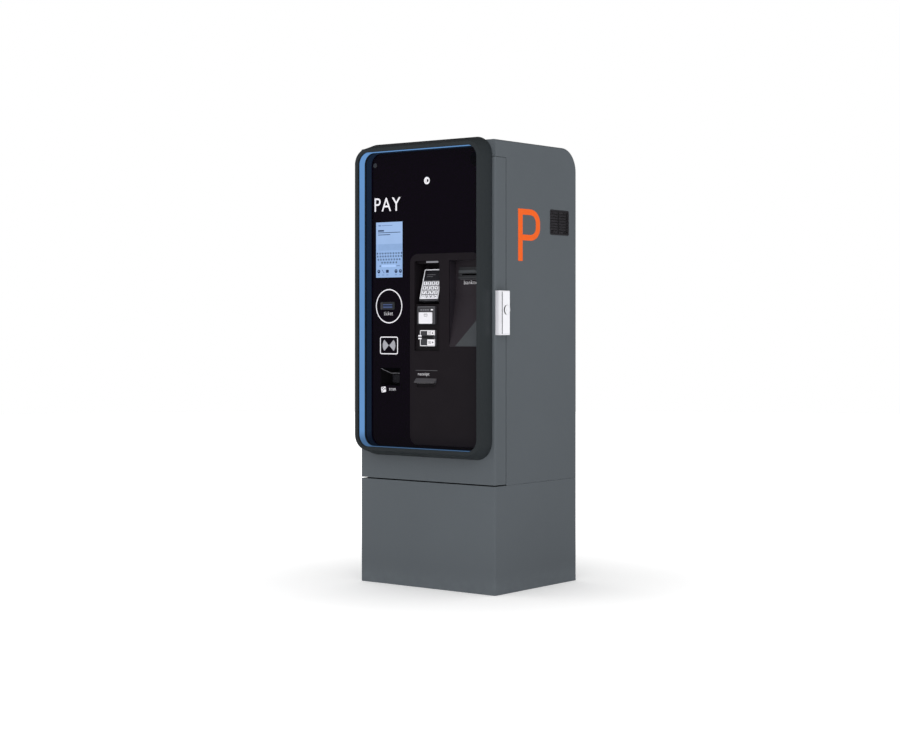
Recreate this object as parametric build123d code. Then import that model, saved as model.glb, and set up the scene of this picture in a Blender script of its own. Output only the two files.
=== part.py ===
from build123d import *
import os
from math import cos, radians, sin

# Free-standing ticket vending machine: steel plinth, rear cabinet, side-hung front door with a deep bezel.
# Frame: origin at the centre of the footprint on the floor, front towards -Y, +X to its right, +Z up.
# Every size is in millimetres.

# ---- cabinet ----
CABINET_W = 660.0
CABINET_D = 537.0
CABINET_H = 1700.0
PLINTH_H = 405.0
SHEET = 3.0
EDGE_R = 8.0
ROOF_R = 90.0
DOOR_DEPTH = 67.0
DOOR_GAP_BOTTOM = 5.0
HOOD_H = 66.0
DOOR_GAP_TOP = 1.5
DOOR_GAP_SIDE = 3.0
HOOD_SETBACK = 1.5
BODY_REVEAL = 1.0
FLANGE_W = 30.0
FLANGE_LIP = 20.0
TOUCH_GAP = 0.3
CUT_PAST = 0.01
FLOOR_T = 4.0

# ---- plinth and floor fixing ----
ANCHOR_PLATE_T = 6.0
ANCHOR_HOLE_R = 7.0
ANCHOR_SPACING_X = 520.0
ANCHOR_SPACING_Y = 400.0
CABLE_OPENING_W = 300.0
CABLE_OPENING_D = 200.0
SERVICE_OPENING_W = 500.0
SERVICE_OPENING_D = 380.0
SERVICE_OPENING_MID_Y = 20.0

# ---- bezel, light strip and glass ----
BEZEL_DEPTH = 64.5
BEZEL_BASE_W = 633.0
BEZEL_BASE_H = 1212.0
BEZEL_BASE_R = 72.0
BEZEL_RIM_W = 611.5
BEZEL_RIM_H = 1171.0
BEZEL_RIM_R = 60.0
BEZEL_INNER_W = 581.0
BEZEL_INNER_H = 1143.0
BEZEL_INNER_R = 46.0
BEZEL_MID_Z = 1107.0
BEZEL_OUTER_WALL = 4.0
BEZEL_INNER_WALL = 6.0
BEZEL_LEDGE = 10.5
LIGHT_FRONT = 11.6
LIGHT_WIDTH = 29.5
LIGHT_T = 2.8
LIGHT_GAP = 0.2
GLASS_RECESS = 47.0
GLASS_T = 6.0
GLASS_GAP = 0.5

# ---- module panel and its pockets ----
PANEL_X = (-63.5, 272.0)
PANEL_Z = (548.0, 1280.0)
PANEL_R = 36.0
PANEL_PROUD = 3.0
PANEL_T = 4.0
POS_X = (-40.7, 81.3)
POS_Z = (908.6, 1252.4)
POS_STEP_Z = 1087.0
POS_SHALLOW = 8.0
POS_DEEP = 68.0
NOTE_X = (128.6, 262.0)
NOTE_Z = (926.0, 1252.0)
NOTE_RAMP_Z = 1119.0
NOTE_DEEP = 42.0
POCKET_WALL = 2.5
RECEIPT_X = (-28.0, 62.0)
RECEIPT_Z = (771.0, 785.0)

# ---- carrier rails ----
RAIL_T = 20.0
RAIL_Z = (500.0, 1625.0)
RAIL_LEFT_X = (-276.0, -262.0)
RAIL_MID_X = (-80.0, -56.0)
RAIL_RIGHT_X = (266.0, 280.0)
MODULE_FLANGE_T = 2.0
DOOR_OPENING_HALF_W = 282.0
DOOR_OPENING_Z = (545.0, 1600.0)

# ---- PIN pad ----
PIN_TILT = 16.1
PIN_X = (-20.0, 70.0)
PIN_SETBACK = 4.0
PIN_BOTTOM_Z = 1100.0
PIN_LENGTH = 126.0
PIN_T = 28.0
PIN_R = 5.0
PIN_WINDOW_DROP = 26.0
PIN_WINDOW_SIDE = 8.0
PIN_WINDOW_H = 34.0
PIN_WINDOW_T = 0.9
PIN_BOSS_W = 30.0
PIN_BOSS_FROM = 39.0
PIN_BOSS_Z = (1140.0, 1190.0)
KEY_COLUMNS = 4
KEY_ROWS = 4
KEY_PITCH_X = 19.6
KEY_PITCH_Y = 17.8
KEY_W = 16.0
KEY_H = 13.0
KEY_R = 2.5
KEY_PROUD = 1.8
KEY_SUNK = 4.0
KEY_TRAVEL = 1.2
KEY_GAP = 0.4
KEY_FIRST_Y = 16.0

# ---- hinges ----
HINGE_OFFSET = 0.5
HINGE_Z = (560.0, 1022.0, 1484.0)
HINGE_LENGTH = 100.0
HINGE_BARREL_R = 7.5
HINGE_PIN_R = 4.0
HINGE_PIN_HEAD_T = 3.0
HINGE_MID_LENGTH = 38.0
HINGE_LEAF_T = 3.0
HINGE_LEAF_START = 9.0
HINGE_LEAF_END = 45.0
RUNNING_GAP = 0.05
END_GAP = 0.5
SCREW_R = 3.0
SCREW_HEAD_R = 5.0
SCREW_HEAD_T = 4.0
SCREW_SOCKET_R = 2.5
SCREW_LENGTH = 10.0
SCREW_GAP = 0.3

# ---- side lock ----
LOCK_SETBACK = 1.5
LOCK_D = 54.0
LOCK_Z = (970.0, 1135.5)
LOCK_T = 29.0
LOCK_EDGE = 3.0
LOCK_AXIS_SETBACK = 33.5
LOCK_AXIS_Z = 1064.0
LOCK_ROTOR_R = 18.6
LOCK_RECESS_R = 19.0
LOCK_RECESS_T = 9.0
LOCK_SPINDLE_R = 6.0
LOCK_GROOVE_W = 2.0
LOCK_GROOVE_T = 3.0
CAM_OUTSET = 13.0
CAM_T = 5.0
CAM_HALF_LENGTH = 28.0
CAM_HALF_W = 7.0
ROD_OUTSET = 6.5
ROD_T = 5.0
ROD_HALF_W = 8.0
ROD_REST_GAP = 9.0
ROD_CAM_GAP = 10.0
ROD_SLOT_GAP = 1.5
ROD_GUIDE_WALL = 2.2
ROD_GUIDE_H = 18.0
ROD_GUIDE_Z = (520.0, 900.0, 1240.0, 1560.0)

# ---- cooling ----
VENT_SETBACK = 57.5
VENT_W = 122.0
VENT_Z = (1360.0, 1452.0)
VENT_R = 8.0
VENT_RIM = 4.0
VENT_SLAT_T = 1.2
VENT_SLAT_TILT = 35.0
VENT_STILE_W = 3.0
VENT_PITCH = 10.8
VENT_SLAT = 6.0
FAN_SIZE = 92.0
FAN_T = 25.0
FAN_BORE_R = 43.0
FAN_BLADE_R = 41.5
FAN_HUB_R = 17.0
FAN_BLADES = 7
FAN_POST_R = 3.0
FAN_POST_LENGTH = 18.0
FAN_STANDOFF = 4.0
FAN_FOOT_R = 4.0
FAN_FOOT_INSET = 6.0
FAN_SPIDER_W = 6.0
FAN_SPIDER_T = 2.5
FAN_MOTOR_R = 15.0
FAN_MOTOR_T = 4.0
FAN_ROTOR_T = 17.0

# ---- receipt printer ----
ROLL_R = 40.0
ROLL_W = 80.0
ROLL_MID_X = 17.0
ROLL_SETBACK = 108.5
ROLL_Z = 810.0
SPINDLE_R = 6.0
PRINTER_X = (-36.0, 70.0)
PRINTER_Z = (760.0, 850.0)
PRINTER_SETBACK = 53.5
ARM_T = 4.0

# ---- modules of the left column and the camera ----
TICKET_X = (-211.0, -140.0)
TICKET_Z = (1067.0, 1097.0)
TICKET_R = 4.0
TICKET_PROUD = 5.0
TICKET_SLOT_X = (-203.0, -148.0)
TICKET_SLOT_H = 3.0
TICKET_SLOT_DEPTH = 60.0
TICKET_THROAT_RIM_X = 5.0
TICKET_THROAT_RIM_Z = 7.0
TICKET_UNIT_X = (-236.0, -106.0)
TICKET_UNIT_Z = (1036.0, 1128.0)
TICKET_UNIT_D = 170.0
SCAN_X = (-211.0, -117.5)
SCAN_Z = (775.0, 840.0)
SCAN_INNER_X = (-184.0, -123.0)
SCAN_INNER_Z = (777.0, 821.0)
SCAN_DEPTH = 30.0
SCAN_RIM_W = 10.0
SCAN_RIM_T = 2.0
SCAN_WINDOW_INSET = 5.0
SCANNER_RIM = 4.0
SCANNER_D = 45.0
CAMERA_X = 20.0
CAMERA_Z = 1558.6
CAMERA_RING_R = 17.0
CAMERA_RING_TAPER = 5.0
CAMERA_RING_PROUD = 4.0
CAMERA_NECK_R = 9.0
CAMERA_LENS_R = 6.0
CAMERA_LENS_FLARE = 3.0
CAMERA_BODY = 44.0
CAMERA_BODY_D = 28.0
DISPLAY_X = (-243.0, -92.0)
DISPLAY_Z = (1180.0, 1418.0)
DISPLAY_D = 32.0
DISPLAY_REAR_INSET = 12.0
PROXIMITY_X = (-222.0, -119.0)
PROXIMITY_Z = (888.0, 968.0)
FLANGE_OVERLAP = 22.0

# ---- card readers ----
CONTACTLESS_X = (-25.0, 61.0)
CONTACTLESS_Z = (1010.0, 1079.0)
CONTACTLESS_D = 24.0
CONTACTLESS_RIM = 7.0
CONTACTLESS_RECESS = 1.5
CHIP_X = (-11.0, 63.0)
CHIP_Z = (926.0, 988.5)
CHIP_D = 60.0
CHIP_SLOT_Z = 961.0
CHIP_SLOT_H = 2.6
CHIP_SLOT_W = 55.0
CHIP_SLOT_D = 50.0
CHIP_WING = 7.0
CHIP_WING_H = 13.0
CHIP_WING_PROUD = 2.0
CHIP_WING_SEAT = 4.0
READER_PROUD = 3.0
READER_INSET = 5.0

# ---- banknote modules ----
NOTE_SLOT_X = (162.0, 246.0)
NOTE_SLOT_Z = (1195.0, 1201.0)
NOTE_HOLE_RIM = 6.0
NOTE_NECK_RIM = 4.0
NOTE_BEZEL_X = (150.0, 258.0)
NOTE_BEZEL_Z = (1181.0, 1226.0)
NOTE_BEZEL_T = 6.0
NOTE_BEZEL_PROUD = 12.0
NOTE_LIP_UPPER_Z = (1203.0, 1216.0)
NOTE_LIP_LOWER_Z = (1183.0, 1190.0)
NOTE_GROOVE_Z = (1219.0, 1222.0)
NOTE_SLOT_D = 60.0
ACCEPTOR_REACH = 208.5
ACCEPTOR_Z = (1085.0, 1240.0)
CASSETTE_Z = (900.0, 1085.0)
CASSETTE_SETBACK = 4.0
CASSETTE_SHORT = 10.0
CASSETTE_INSET = 2.0

# ---- receipt hood ----
HOOD_LIP_X = (-32.0, 67.0)
HOOD_LIP_Z = (787.0, 790.0, 804.0)
HOOD_LIP_PROUD = 14.0

# ---- door seal ----
SEAL_OUTSIDE = 12.0
SEAL_INSIDE = 6.0
SEAL_TOP_OUTSIDE = 6.0
SEAL_TOP_INSIDE = 18.0

# ---- inside the cabinet ----
PLATE_X = (-280.0, 280.0)
PLATE_Z = (480.0, 1560.0)
PLATE_T = 3.0
PLATE_STANDOFF = 8.0
PLATE_POST_R = 8.0
PLATE_POST_INSET_X = 30.0
PLATE_POST_INSET_Z = 40.0
POWER_X = (-250.0, -90.0)
POWER_Z = (760.0, 1010.0)
POWER_D = 80.0
CONTROLLER_X = (-60.0, 220.0)
CONTROLLER_Z = (1060.0, 1350.0)
CONTROLLER_D = 90.0
CONTROLLER_SLOTS = 8
CONTROLLER_SLOT_PITCH = 10.0
CONTROLLER_SLOT_FROM = 180.0
BATTERY_X = (-250.0, -60.0)
BATTERY_Z = (500.0, 640.0)
BATTERY_D = 130.0
TERMINAL_R = 8.0
TERMINAL_H = 12.0
TERMINAL_INSET = 30.0

# ---- worked-out planes ----
HALF_W = CABINET_W / 2
ACROSS = (-HALF_W, HALF_W)
FRONT_Y = -CABINET_D / 2
BACK_Y = CABINET_D / 2
DOOR_BACK_Y = FRONT_Y + DOOR_DEPTH
BODY_FRONT_Y = DOOR_BACK_Y + DOOR_GAP_SIDE
DOOR_BOTTOM = PLINTH_H + DOOR_GAP_BOTTOM
DOOR_SKIN_BACK_Y = FRONT_Y + SHEET
RIM_Y = FRONT_Y - BEZEL_DEPTH
GLASS_Y = RIM_Y + GLASS_RECESS
GLASS_BACK_Y = GLASS_Y + GLASS_T
PANEL_Y = GLASS_Y - PANEL_PROUD
PANEL_BACK_Y = PANEL_Y + PANEL_T
RAIL_BACK_Y = DOOR_SKIN_BACK_Y + RAIL_T
MODULE_FRONT_Y = GLASS_BACK_Y + TOUCH_GAP
INNER_HALF_W = HALF_W - FLANGE_W
LOCK_FACE_X = HALF_W + LOCK_T
BODY_BACK_INNER_Y = BACK_Y - SHEET
DOOR_TOP = CABINET_H - HOOD_H
HINGE_AXIS_X = -(HALF_W + HINGE_BARREL_R + HINGE_OFFSET)
HINGE_AXIS_Y = (DOOR_BACK_Y + BODY_FRONT_Y) / 2
LOCK_Y = (FRONT_Y + LOCK_SETBACK, FRONT_Y + LOCK_SETBACK + LOCK_D)
LOCK_AXIS_Y = FRONT_Y + LOCK_AXIS_SETBACK
CAM_X = (HALF_W - CAM_OUTSET - CAM_T, HALF_W - CAM_OUTSET)
ROD_X = (HALF_W - ROD_OUTSET - ROD_T, HALF_W - ROD_OUTSET)
VENT_Y = (BACK_Y - VENT_SETBACK - VENT_W, BACK_Y - VENT_SETBACK)
VENT_MID_Y = (VENT_Y[0] + VENT_Y[1]) / 2
VENT_MID_Z = (VENT_Z[0] + VENT_Z[1]) / 2
ROLL_Y = FRONT_Y + ROLL_SETBACK
PRINTER_BACK_Y = FRONT_Y + PRINTER_SETBACK
PIN_BOTTOM_Y = PANEL_Y + PIN_SETBACK
NOTE_BACK_Y = PANEL_Y + NOTE_DEEP
ACCEPTOR_BACK_Y = FRONT_Y + ACCEPTOR_REACH
PLATE_FRONT_Y = BODY_BACK_INNER_Y - PLATE_STANDOFF - PLATE_T


def block(x, y, z):
    """Box between two values on each axis."""
    spans = (x, y, z)
    size = [high - low for low, high in spans]
    middle = [(high + low) / 2 for low, high in spans]
    return Pos(*middle) * Box(*size)


def grow(span, by):
    """A span made longer by the same amount at both ends."""
    return (span[0] - by, span[1] + by)


def about(middle, size):
    """The span of a given size about its middle."""
    return (middle - size / 2, middle + size / 2)


def outline(x, z, r=0.0):
    """Rectangle with optional rounded corners between two values on X and Z."""
    width = x[1] - x[0]
    height = z[1] - z[0]
    shape = RectangleRounded(width, height, r) if r > 0 else Rectangle(width, height)
    return Pos((x[0] + x[1]) / 2, (z[0] + z[1]) / 2) * shape


def at_depth(y, shape):
    """An X-Z outline placed at a depth, facing the front."""
    return Plane.XZ.offset(-y) * shape


def slab(shape, y_front, y_back):
    """An X-Z outline made solid between two depths."""
    return extrude(at_depth(y_back, shape), amount=y_back - y_front)


def side_slab(shape, x_low, x_high):
    """A Y-Z outline made solid between two values on X."""
    return extrude(Plane.YZ.offset(x_low) * shape, amount=x_high - x_low)


def post_x(y, z, r, x_low, x_high):
    """Round bar along X."""
    return side_slab(Pos(y, z) * Circle(r), x_low, x_high)


def post_y(x, z, r, y_front, y_back):
    """Round bar along Y."""
    return slab(Pos(x, z) * Circle(r), y_front, y_back)


def post_z(x, y, r, z_low, z_high):
    """Round bar along Z."""
    return Pos(x, y, (z_low + z_high) / 2) * Cylinder(r, z_high - z_low)


def upright_edges(part, y_test):
    """Vertical outer edges whose depth passes a test."""
    edges = part.edges().filter_by(Axis.Z)
    return edges.filter_by(lambda e: abs(abs(e.center().X) - HALF_W) < 1 and y_test(e.center().Y))


def save(node, part):
    """Write one sub-part as its own STEP file."""
    export_step(part, os.path.join("parts", node + ".step"))


# ---------------------------------------------------------------- cabinet

def rod_slot(z):
    """The cut that lets a latch rod through a sheet at one height."""
    x = grow(ROD_X, ROD_SLOT_GAP)
    y = grow(about(LOCK_AXIS_Y, 2 * ROD_HALF_W), ROD_SLOT_GAP)
    return block(x, y, z)


def make_plinth():
    shell = block((-HALF_W, HALF_W), (FRONT_Y, BACK_Y), (0, PLINTH_H))
    shell = fillet(shell.edges().filter_by(Axis.Z), EDGE_R)
    inside = block(grow(ACROSS, -SHEET), (FRONT_Y + SHEET, BACK_Y - SHEET), (-1, PLINTH_H - SHEET))
    inside = fillet(inside.edges().filter_by(Axis.Z), EDGE_R - SHEET)
    top = (PLINTH_H - SHEET - 1, PLINTH_H + 1)
    access = block(about(0, SERVICE_OPENING_W), about(SERVICE_OPENING_MID_Y, SERVICE_OPENING_D), top)
    return shell - inside - access - rod_slot(top)


def make_anchor_plate():
    inset = SHEET + TOUCH_GAP
    plate = block((-HALF_W + inset, HALF_W - inset), (FRONT_Y + inset, BACK_Y - inset), (0, ANCHOR_PLATE_T))
    plate = fillet(plate.edges().filter_by(Axis.Z), EDGE_R - SHEET)
    plate -= block(about(0, CABLE_OPENING_W), about(0, CABLE_OPENING_D), (-1, ANCHOR_PLATE_T + 1))
    for x in (-ANCHOR_SPACING_X / 2, ANCHOR_SPACING_X / 2):
        for y in (-ANCHOR_SPACING_Y / 2, ANCHOR_SPACING_Y / 2):
            plate -= post_z(x, y, ANCHOR_HOLE_R, -1, ANCHOR_PLATE_T + 1)
    return plate


def make_body_floor():
    plate = block((-HALF_W + SHEET, HALF_W - SHEET), (BODY_FRONT_Y + SHEET, BACK_Y - SHEET - EDGE_R),
                  (PLINTH_H, PLINTH_H + FLOOR_T))
    cut_z = (PLINTH_H - 1, PLINTH_H + FLOOR_T + 1)
    return plate - block(about(0, CABLE_OPENING_W), about(0, CABLE_OPENING_D), cut_z)


def cabinet_hull(inset, front_y, floor_z):
    """The cabinet's outer or inner form: a box with a large round at the top rear edge."""
    hull = block((-HALF_W + inset, HALF_W - inset), (front_y, BACK_Y - inset), (floor_z, CABINET_H - inset))
    roof_rear = hull.edges().filter_by(Axis.X).sort_by(lambda e: e.center().Y + e.center().Z)[-1]
    hull = fillet(roof_rear, ROOF_R - inset)

    def is_soft(edge):
        c = edge.center()
        on_side = abs(abs(c.X) - (HALF_W - inset)) < 0.01
        return on_side and c.Z > floor_z + 1 and c.Y > front_y + 1
    return fillet(hull.edges().filter_by(is_soft), EDGE_R - inset)


def make_rear_body():
    bottom = PLINTH_H + BODY_REVEAL
    hood_bottom = DOOR_TOP + DOOR_GAP_TOP
    hood_front = FRONT_Y + HOOD_SETBACK
    body = cabinet_hull(0, hood_front, bottom)
    body -= block((-HALF_W - 1, HALF_W + 1), (hood_front - 1, BODY_FRONT_Y), (bottom - 1, hood_bottom))
    body -= cabinet_hull(SHEET, BODY_FRONT_Y + SHEET, bottom - 1)
    body -= block((-HALF_W + SHEET, HALF_W - SHEET), (hood_front + SHEET, BODY_FRONT_Y + SHEET + 1),
                  (hood_bottom + SHEET, CABINET_H - SHEET))
    body -= block((-INNER_HALF_W, INNER_HALF_W), (BODY_FRONT_Y - 1, BODY_FRONT_Y + SHEET + 1),
                  (DOOR_BOTTOM + FLANGE_LIP, DOOR_TOP - FLANGE_LIP - 2))
    body -= rod_slot((hood_bottom - 1, hood_bottom + SHEET + 1))
    vent = outline(VENT_Y, VENT_Z, VENT_R)
    body -= side_slab(vent, HALF_W - SHEET - 1, HALF_W + 1)
    for y, z in hinge_screw_places():
        body -= post_x(y, z, SCREW_R + SCREW_GAP, -HALF_W - 1, -HALF_W + SHEET + 1)
    return body


def make_door_seal():
    height = (DOOR_BOTTOM, DOOR_TOP)
    outer = outline(grow(ACROSS, -SEAL_OUTSIDE), grow(height, -SEAL_TOP_OUTSIDE), 6)
    inner = outline(about(0, 2 * (INNER_HALF_W + SEAL_INSIDE)), grow(height, -SEAL_TOP_INSIDE), 4)
    return slab(outer - inner, DOOR_BACK_Y + TOUCH_GAP, BODY_FRONT_Y)


# ---------------------------------------------------------------- hinges

def hinge_screw_places():
    """Depth and height of each screw in the fixed leaves."""
    y = HINGE_AXIS_Y + (HINGE_LEAF_START + HINGE_LEAF_END) / 2
    return [(y, z + dz) for z in HINGE_Z for dz in (-HINGE_LENGTH / 3, HINGE_LENGTH / 3)]


def hinge_post(r, low, high):
    """Round bar on the hinge axis."""
    return post_z(HINGE_AXIS_X, HINGE_AXIS_Y, r, low, high)


def hinge_leaf(z, side, barrels):
    """One leaf with its barrels; side is +1 towards the cabinet's back, -1 towards its front."""
    leaf_x = (-HALF_W - HINGE_LEAF_T, -HALF_W)
    ends = sorted((HINGE_AXIS_Y + side * HINGE_LEAF_START, HINGE_AXIS_Y + side * HINGE_LEAF_END))
    leaf = block(leaf_x, ends, about(z, HINGE_LENGTH))
    for low, high in barrels:
        web = sorted((HINGE_AXIS_Y, HINGE_AXIS_Y + side * (HINGE_LEAF_START + 1)))
        leaf += hinge_post(HINGE_BARREL_R, low, high)
        leaf += block(leaf_x, web, (low, high))
    return leaf - hinge_post(HINGE_PIN_R + RUNNING_GAP, z - HINGE_LENGTH, z + HINGE_LENGTH)


def make_hinge_fixed():
    leaves = []
    for z in HINGE_Z:
        low = (z - HINGE_LENGTH / 2, z - HINGE_MID_LENGTH / 2 - END_GAP)
        high = (z + HINGE_MID_LENGTH / 2 + END_GAP, z + HINGE_LENGTH / 2)
        leaves.append(hinge_leaf(z, 1, (low, high)))
    holes = [post_x(y, z, SCREW_R + SCREW_GAP, -HALF_W - 20, -HALF_W + 1) for y, z in hinge_screw_places()]
    return Compound(children=[leaf - holes for leaf in leaves])


def make_hinge_moving():
    return Compound(children=[hinge_leaf(z, -1, (about(z, HINGE_MID_LENGTH),)) for z in HINGE_Z])


def make_hinge_pins():
    pins = []
    for z in HINGE_Z:
        top = z + HINGE_LENGTH / 2
        pin = hinge_post(HINGE_PIN_R, z - HINGE_LENGTH / 2, top)
        head = hinge_post(HINGE_BARREL_R - 1, top, top + HINGE_PIN_HEAD_T)
        pins.append(pin + head)
    return Compound(children=pins)


def make_fixing_screws():
    screws = []
    seat = -HALF_W - HINGE_LEAF_T
    for y, z in hinge_screw_places():
        head = post_x(y, z, SCREW_HEAD_R, seat - SCREW_HEAD_T, seat)
        head = fillet(head.edges().sort_by(Axis.X)[0], 1.5)
        socket = Pos(y, z) * RegularPolygon(SCREW_SOCKET_R, 6)
        socket = side_slab(socket, seat - SCREW_HEAD_T - 1, seat - SCREW_HEAD_T / 2)
        screws.append(head - socket + post_x(y, z, SCREW_R, seat, seat + SCREW_LENGTH))
    return Compound(children=screws)


# ---------------------------------------------------------------- door

def rod_guides():
    """Closed guides for the latch rods, standing on the door's right return."""
    guides = []
    y = about(LOCK_AXIS_Y, 2 * ROD_HALF_W)
    for z in ROD_GUIDE_Z:
        guide_x = (ROD_X[0] - TOUCH_GAP - ROD_GUIDE_WALL, HALF_W - SHEET)
        solid = block(guide_x, grow(y, ROD_GUIDE_WALL + TOUCH_GAP), about(z, ROD_GUIDE_H))
        guides.append(solid - block(grow(ROD_X, TOUCH_GAP), grow(y, TOUCH_GAP), about(z, ROD_GUIDE_H + 2)))
    return guides


def make_door_shell():
    shell = block((-HALF_W, HALF_W), (FRONT_Y, DOOR_BACK_Y), (DOOR_BOTTOM, DOOR_TOP))
    shell = fillet(upright_edges(shell, lambda y: y < FRONT_Y + 1), EDGE_R)
    inside = block((-HALF_W + SHEET, HALF_W - SHEET), (DOOR_SKIN_BACK_Y, DOOR_BACK_Y - SHEET),
                   (DOOR_BOTTOM + SHEET, DOOR_TOP - SHEET))
    inner_front = inside.edges().filter_by(Axis.Z).filter_by(lambda e: e.center().Y < DOOR_SKIN_BACK_Y + 1)
    shell -= fillet(inner_front, EDGE_R - SHEET)
    shell -= block((-INNER_HALF_W, INNER_HALF_W), (DOOR_BACK_Y - SHEET - 1, DOOR_BACK_Y + 1),
                   (DOOR_BOTTOM + FLANGE_W, DOOR_TOP - FLANGE_W))
    shell -= slab(outline((-DOOR_OPENING_HALF_W, DOOR_OPENING_HALF_W), DOOR_OPENING_Z, 20), FRONT_Y - 1,
                  DOOR_SKIN_BACK_Y + 1)
    shell -= post_x(LOCK_AXIS_Y, LOCK_AXIS_Z, LOCK_SPINDLE_R + 0.5, HALF_W - SHEET - 1, HALF_W + 1)
    shell -= rod_slot((DOOR_BOTTOM - 1, DOOR_BOTTOM + SHEET + 1))
    shell -= rod_slot((DOOR_TOP - SHEET - 1, DOOR_TOP + 1))
    for guide in rod_guides():
        shell += guide
    return shell


def make_module_rails():
    y = (DOOR_SKIN_BACK_Y, RAIL_BACK_Y)
    return Compound(children=[block(x, y, RAIL_Z) for x in (RAIL_LEFT_X, RAIL_MID_X, RAIL_RIGHT_X)])


def bezel_outline(width, height, r, by=0.0):
    """A bezel outline, grown or shrunk about the bezel's middle."""
    return Pos(0, BEZEL_MID_Z) * RectangleRounded(width + 2 * by, height + 2 * by, r + by)


def inner_outline(by=0.0):
    """The outline of the bezel's inner wall, grown or shrunk."""
    return bezel_outline(BEZEL_INNER_W, BEZEL_INNER_H, BEZEL_INNER_R, by)


def bezel_cone(by, y_back, y_front):
    """The bezel's flared outer form, shrunk by a wall."""
    base = at_depth(y_back, bezel_outline(BEZEL_BASE_W, BEZEL_BASE_H, BEZEL_BASE_R, -by))
    rim = at_depth(y_front, bezel_outline(BEZEL_RIM_W, BEZEL_RIM_H, BEZEL_RIM_R, -by))
    return loft([base, rim])


def inner_ring(by_outer, by_inner, y_front, y_back):
    """Ring that follows the bezel's inner wall."""
    return slab(inner_outline(by_outer) - inner_outline(by_inner), y_front, y_back)


def make_bezel_frame():
    bezel = bezel_cone(0, FRONT_Y, RIM_Y)
    bezel -= slab(inner_outline(), RIM_Y - 1, GLASS_BACK_Y)
    bezel -= slab(inner_outline(-BEZEL_LEDGE), RIM_Y - 1, FRONT_Y + 1)
    cavity = bezel_cone(BEZEL_OUTER_WALL, FRONT_Y + 0.1, RIM_Y + BEZEL_OUTER_WALL)
    cavity -= slab(inner_outline(BEZEL_INNER_WALL), RIM_Y - 1, FRONT_Y + 2)
    bezel -= cavity
    groove_front = RIM_Y + LIGHT_FRONT - LIGHT_GAP
    groove_back = RIM_Y + LIGHT_FRONT + LIGHT_WIDTH + LIGHT_GAP
    return bezel - inner_ring(LIGHT_T + LIGHT_GAP, -1, groove_front, groove_back)


def make_light_strip():
    front = RIM_Y + LIGHT_FRONT
    return inner_ring(LIGHT_T, 0, front, front + LIGHT_WIDTH)


def make_front_glass():
    glass = slab(inner_outline(-GLASS_GAP), GLASS_Y, GLASS_BACK_Y)
    holes = outline(grow(PANEL_X, GLASS_GAP), grow(PANEL_Z, GLASS_GAP), PANEL_R + GLASS_GAP)
    holes += outline(grow(TICKET_X, TOUCH_GAP), grow(TICKET_Z, TOUCH_GAP), TICKET_R + TOUCH_GAP)
    holes += outline(grow(SCAN_X, POCKET_WALL + TOUCH_GAP), grow(SCAN_Z, POCKET_WALL + TOUCH_GAP))
    holes += Pos(CAMERA_X, CAMERA_Z) * Circle(CAMERA_NECK_R + TOUCH_GAP)
    return glass - slab(holes, GLASS_Y - 1, GLASS_BACK_Y + 1)


# ---------------------------------------------------------------- left column of modules

def module_flange(z):
    """Mounting flange behind the left and middle rails."""
    x = (RAIL_LEFT_X[0], RAIL_MID_X[0] + FLANGE_OVERLAP)
    return block(x, (RAIL_BACK_Y, RAIL_BACK_Y + MODULE_FLANGE_T), z)


def make_display_module():
    front = block(DISPLAY_X, (MODULE_FRONT_Y, RAIL_BACK_Y), DISPLAY_Z)
    rear = block(grow(DISPLAY_X, -DISPLAY_REAR_INSET), (RAIL_BACK_Y, RAIL_BACK_Y + DISPLAY_D),
                 grow(DISPLAY_Z, -DISPLAY_REAR_INSET))
    return front + module_flange(grow(DISPLAY_Z, 6)) + rear


def ticket_slot(y_front, y_back):
    """The ticket's path through the bezel and the unit behind it."""
    z = about((TICKET_Z[0] + TICKET_Z[1]) / 2, TICKET_SLOT_H)
    return block(TICKET_SLOT_X, (y_front, y_back), z)


def make_ticket_bezel():
    body = slab(outline(TICKET_X, TICKET_Z, TICKET_R), GLASS_Y - TICKET_PROUD, MODULE_FRONT_Y)
    front_edges = body.faces().sort_by(Axis.Y)[0].edges()
    body = chamfer(front_edges, 1.5)
    return body - ticket_slot(GLASS_Y - TICKET_PROUD - 1, MODULE_FRONT_Y + 1)


def make_ticket_unit():
    throat = block(grow(TICKET_X, TICKET_THROAT_RIM_X), (MODULE_FRONT_Y, RAIL_BACK_Y),
                   grow(TICKET_Z, TICKET_THROAT_RIM_Z))
    rear = block(TICKET_UNIT_X, (RAIL_BACK_Y, RAIL_BACK_Y + TICKET_UNIT_D), TICKET_UNIT_Z)
    unit = throat + rear + module_flange(grow(TICKET_UNIT_Z, 4))
    return unit - ticket_slot(MODULE_FRONT_Y - 1, RAIL_BACK_Y + TICKET_SLOT_DEPTH)


def make_proximity_reader():
    front = block(PROXIMITY_X, (MODULE_FRONT_Y, RAIL_BACK_Y), PROXIMITY_Z)
    return front + module_flange(grow(PROXIMITY_Z, 4))


def scan_cone(by, y_front, y_back):
    """The scan recess: a tapered tub, grown by its wall."""
    mouth = at_depth(y_front, outline(grow(SCAN_X, by), grow(SCAN_Z, by)))
    floor = at_depth(y_back, outline(grow(SCAN_INNER_X, by), grow(SCAN_INNER_Z, by)))
    return loft([mouth, floor])


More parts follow.
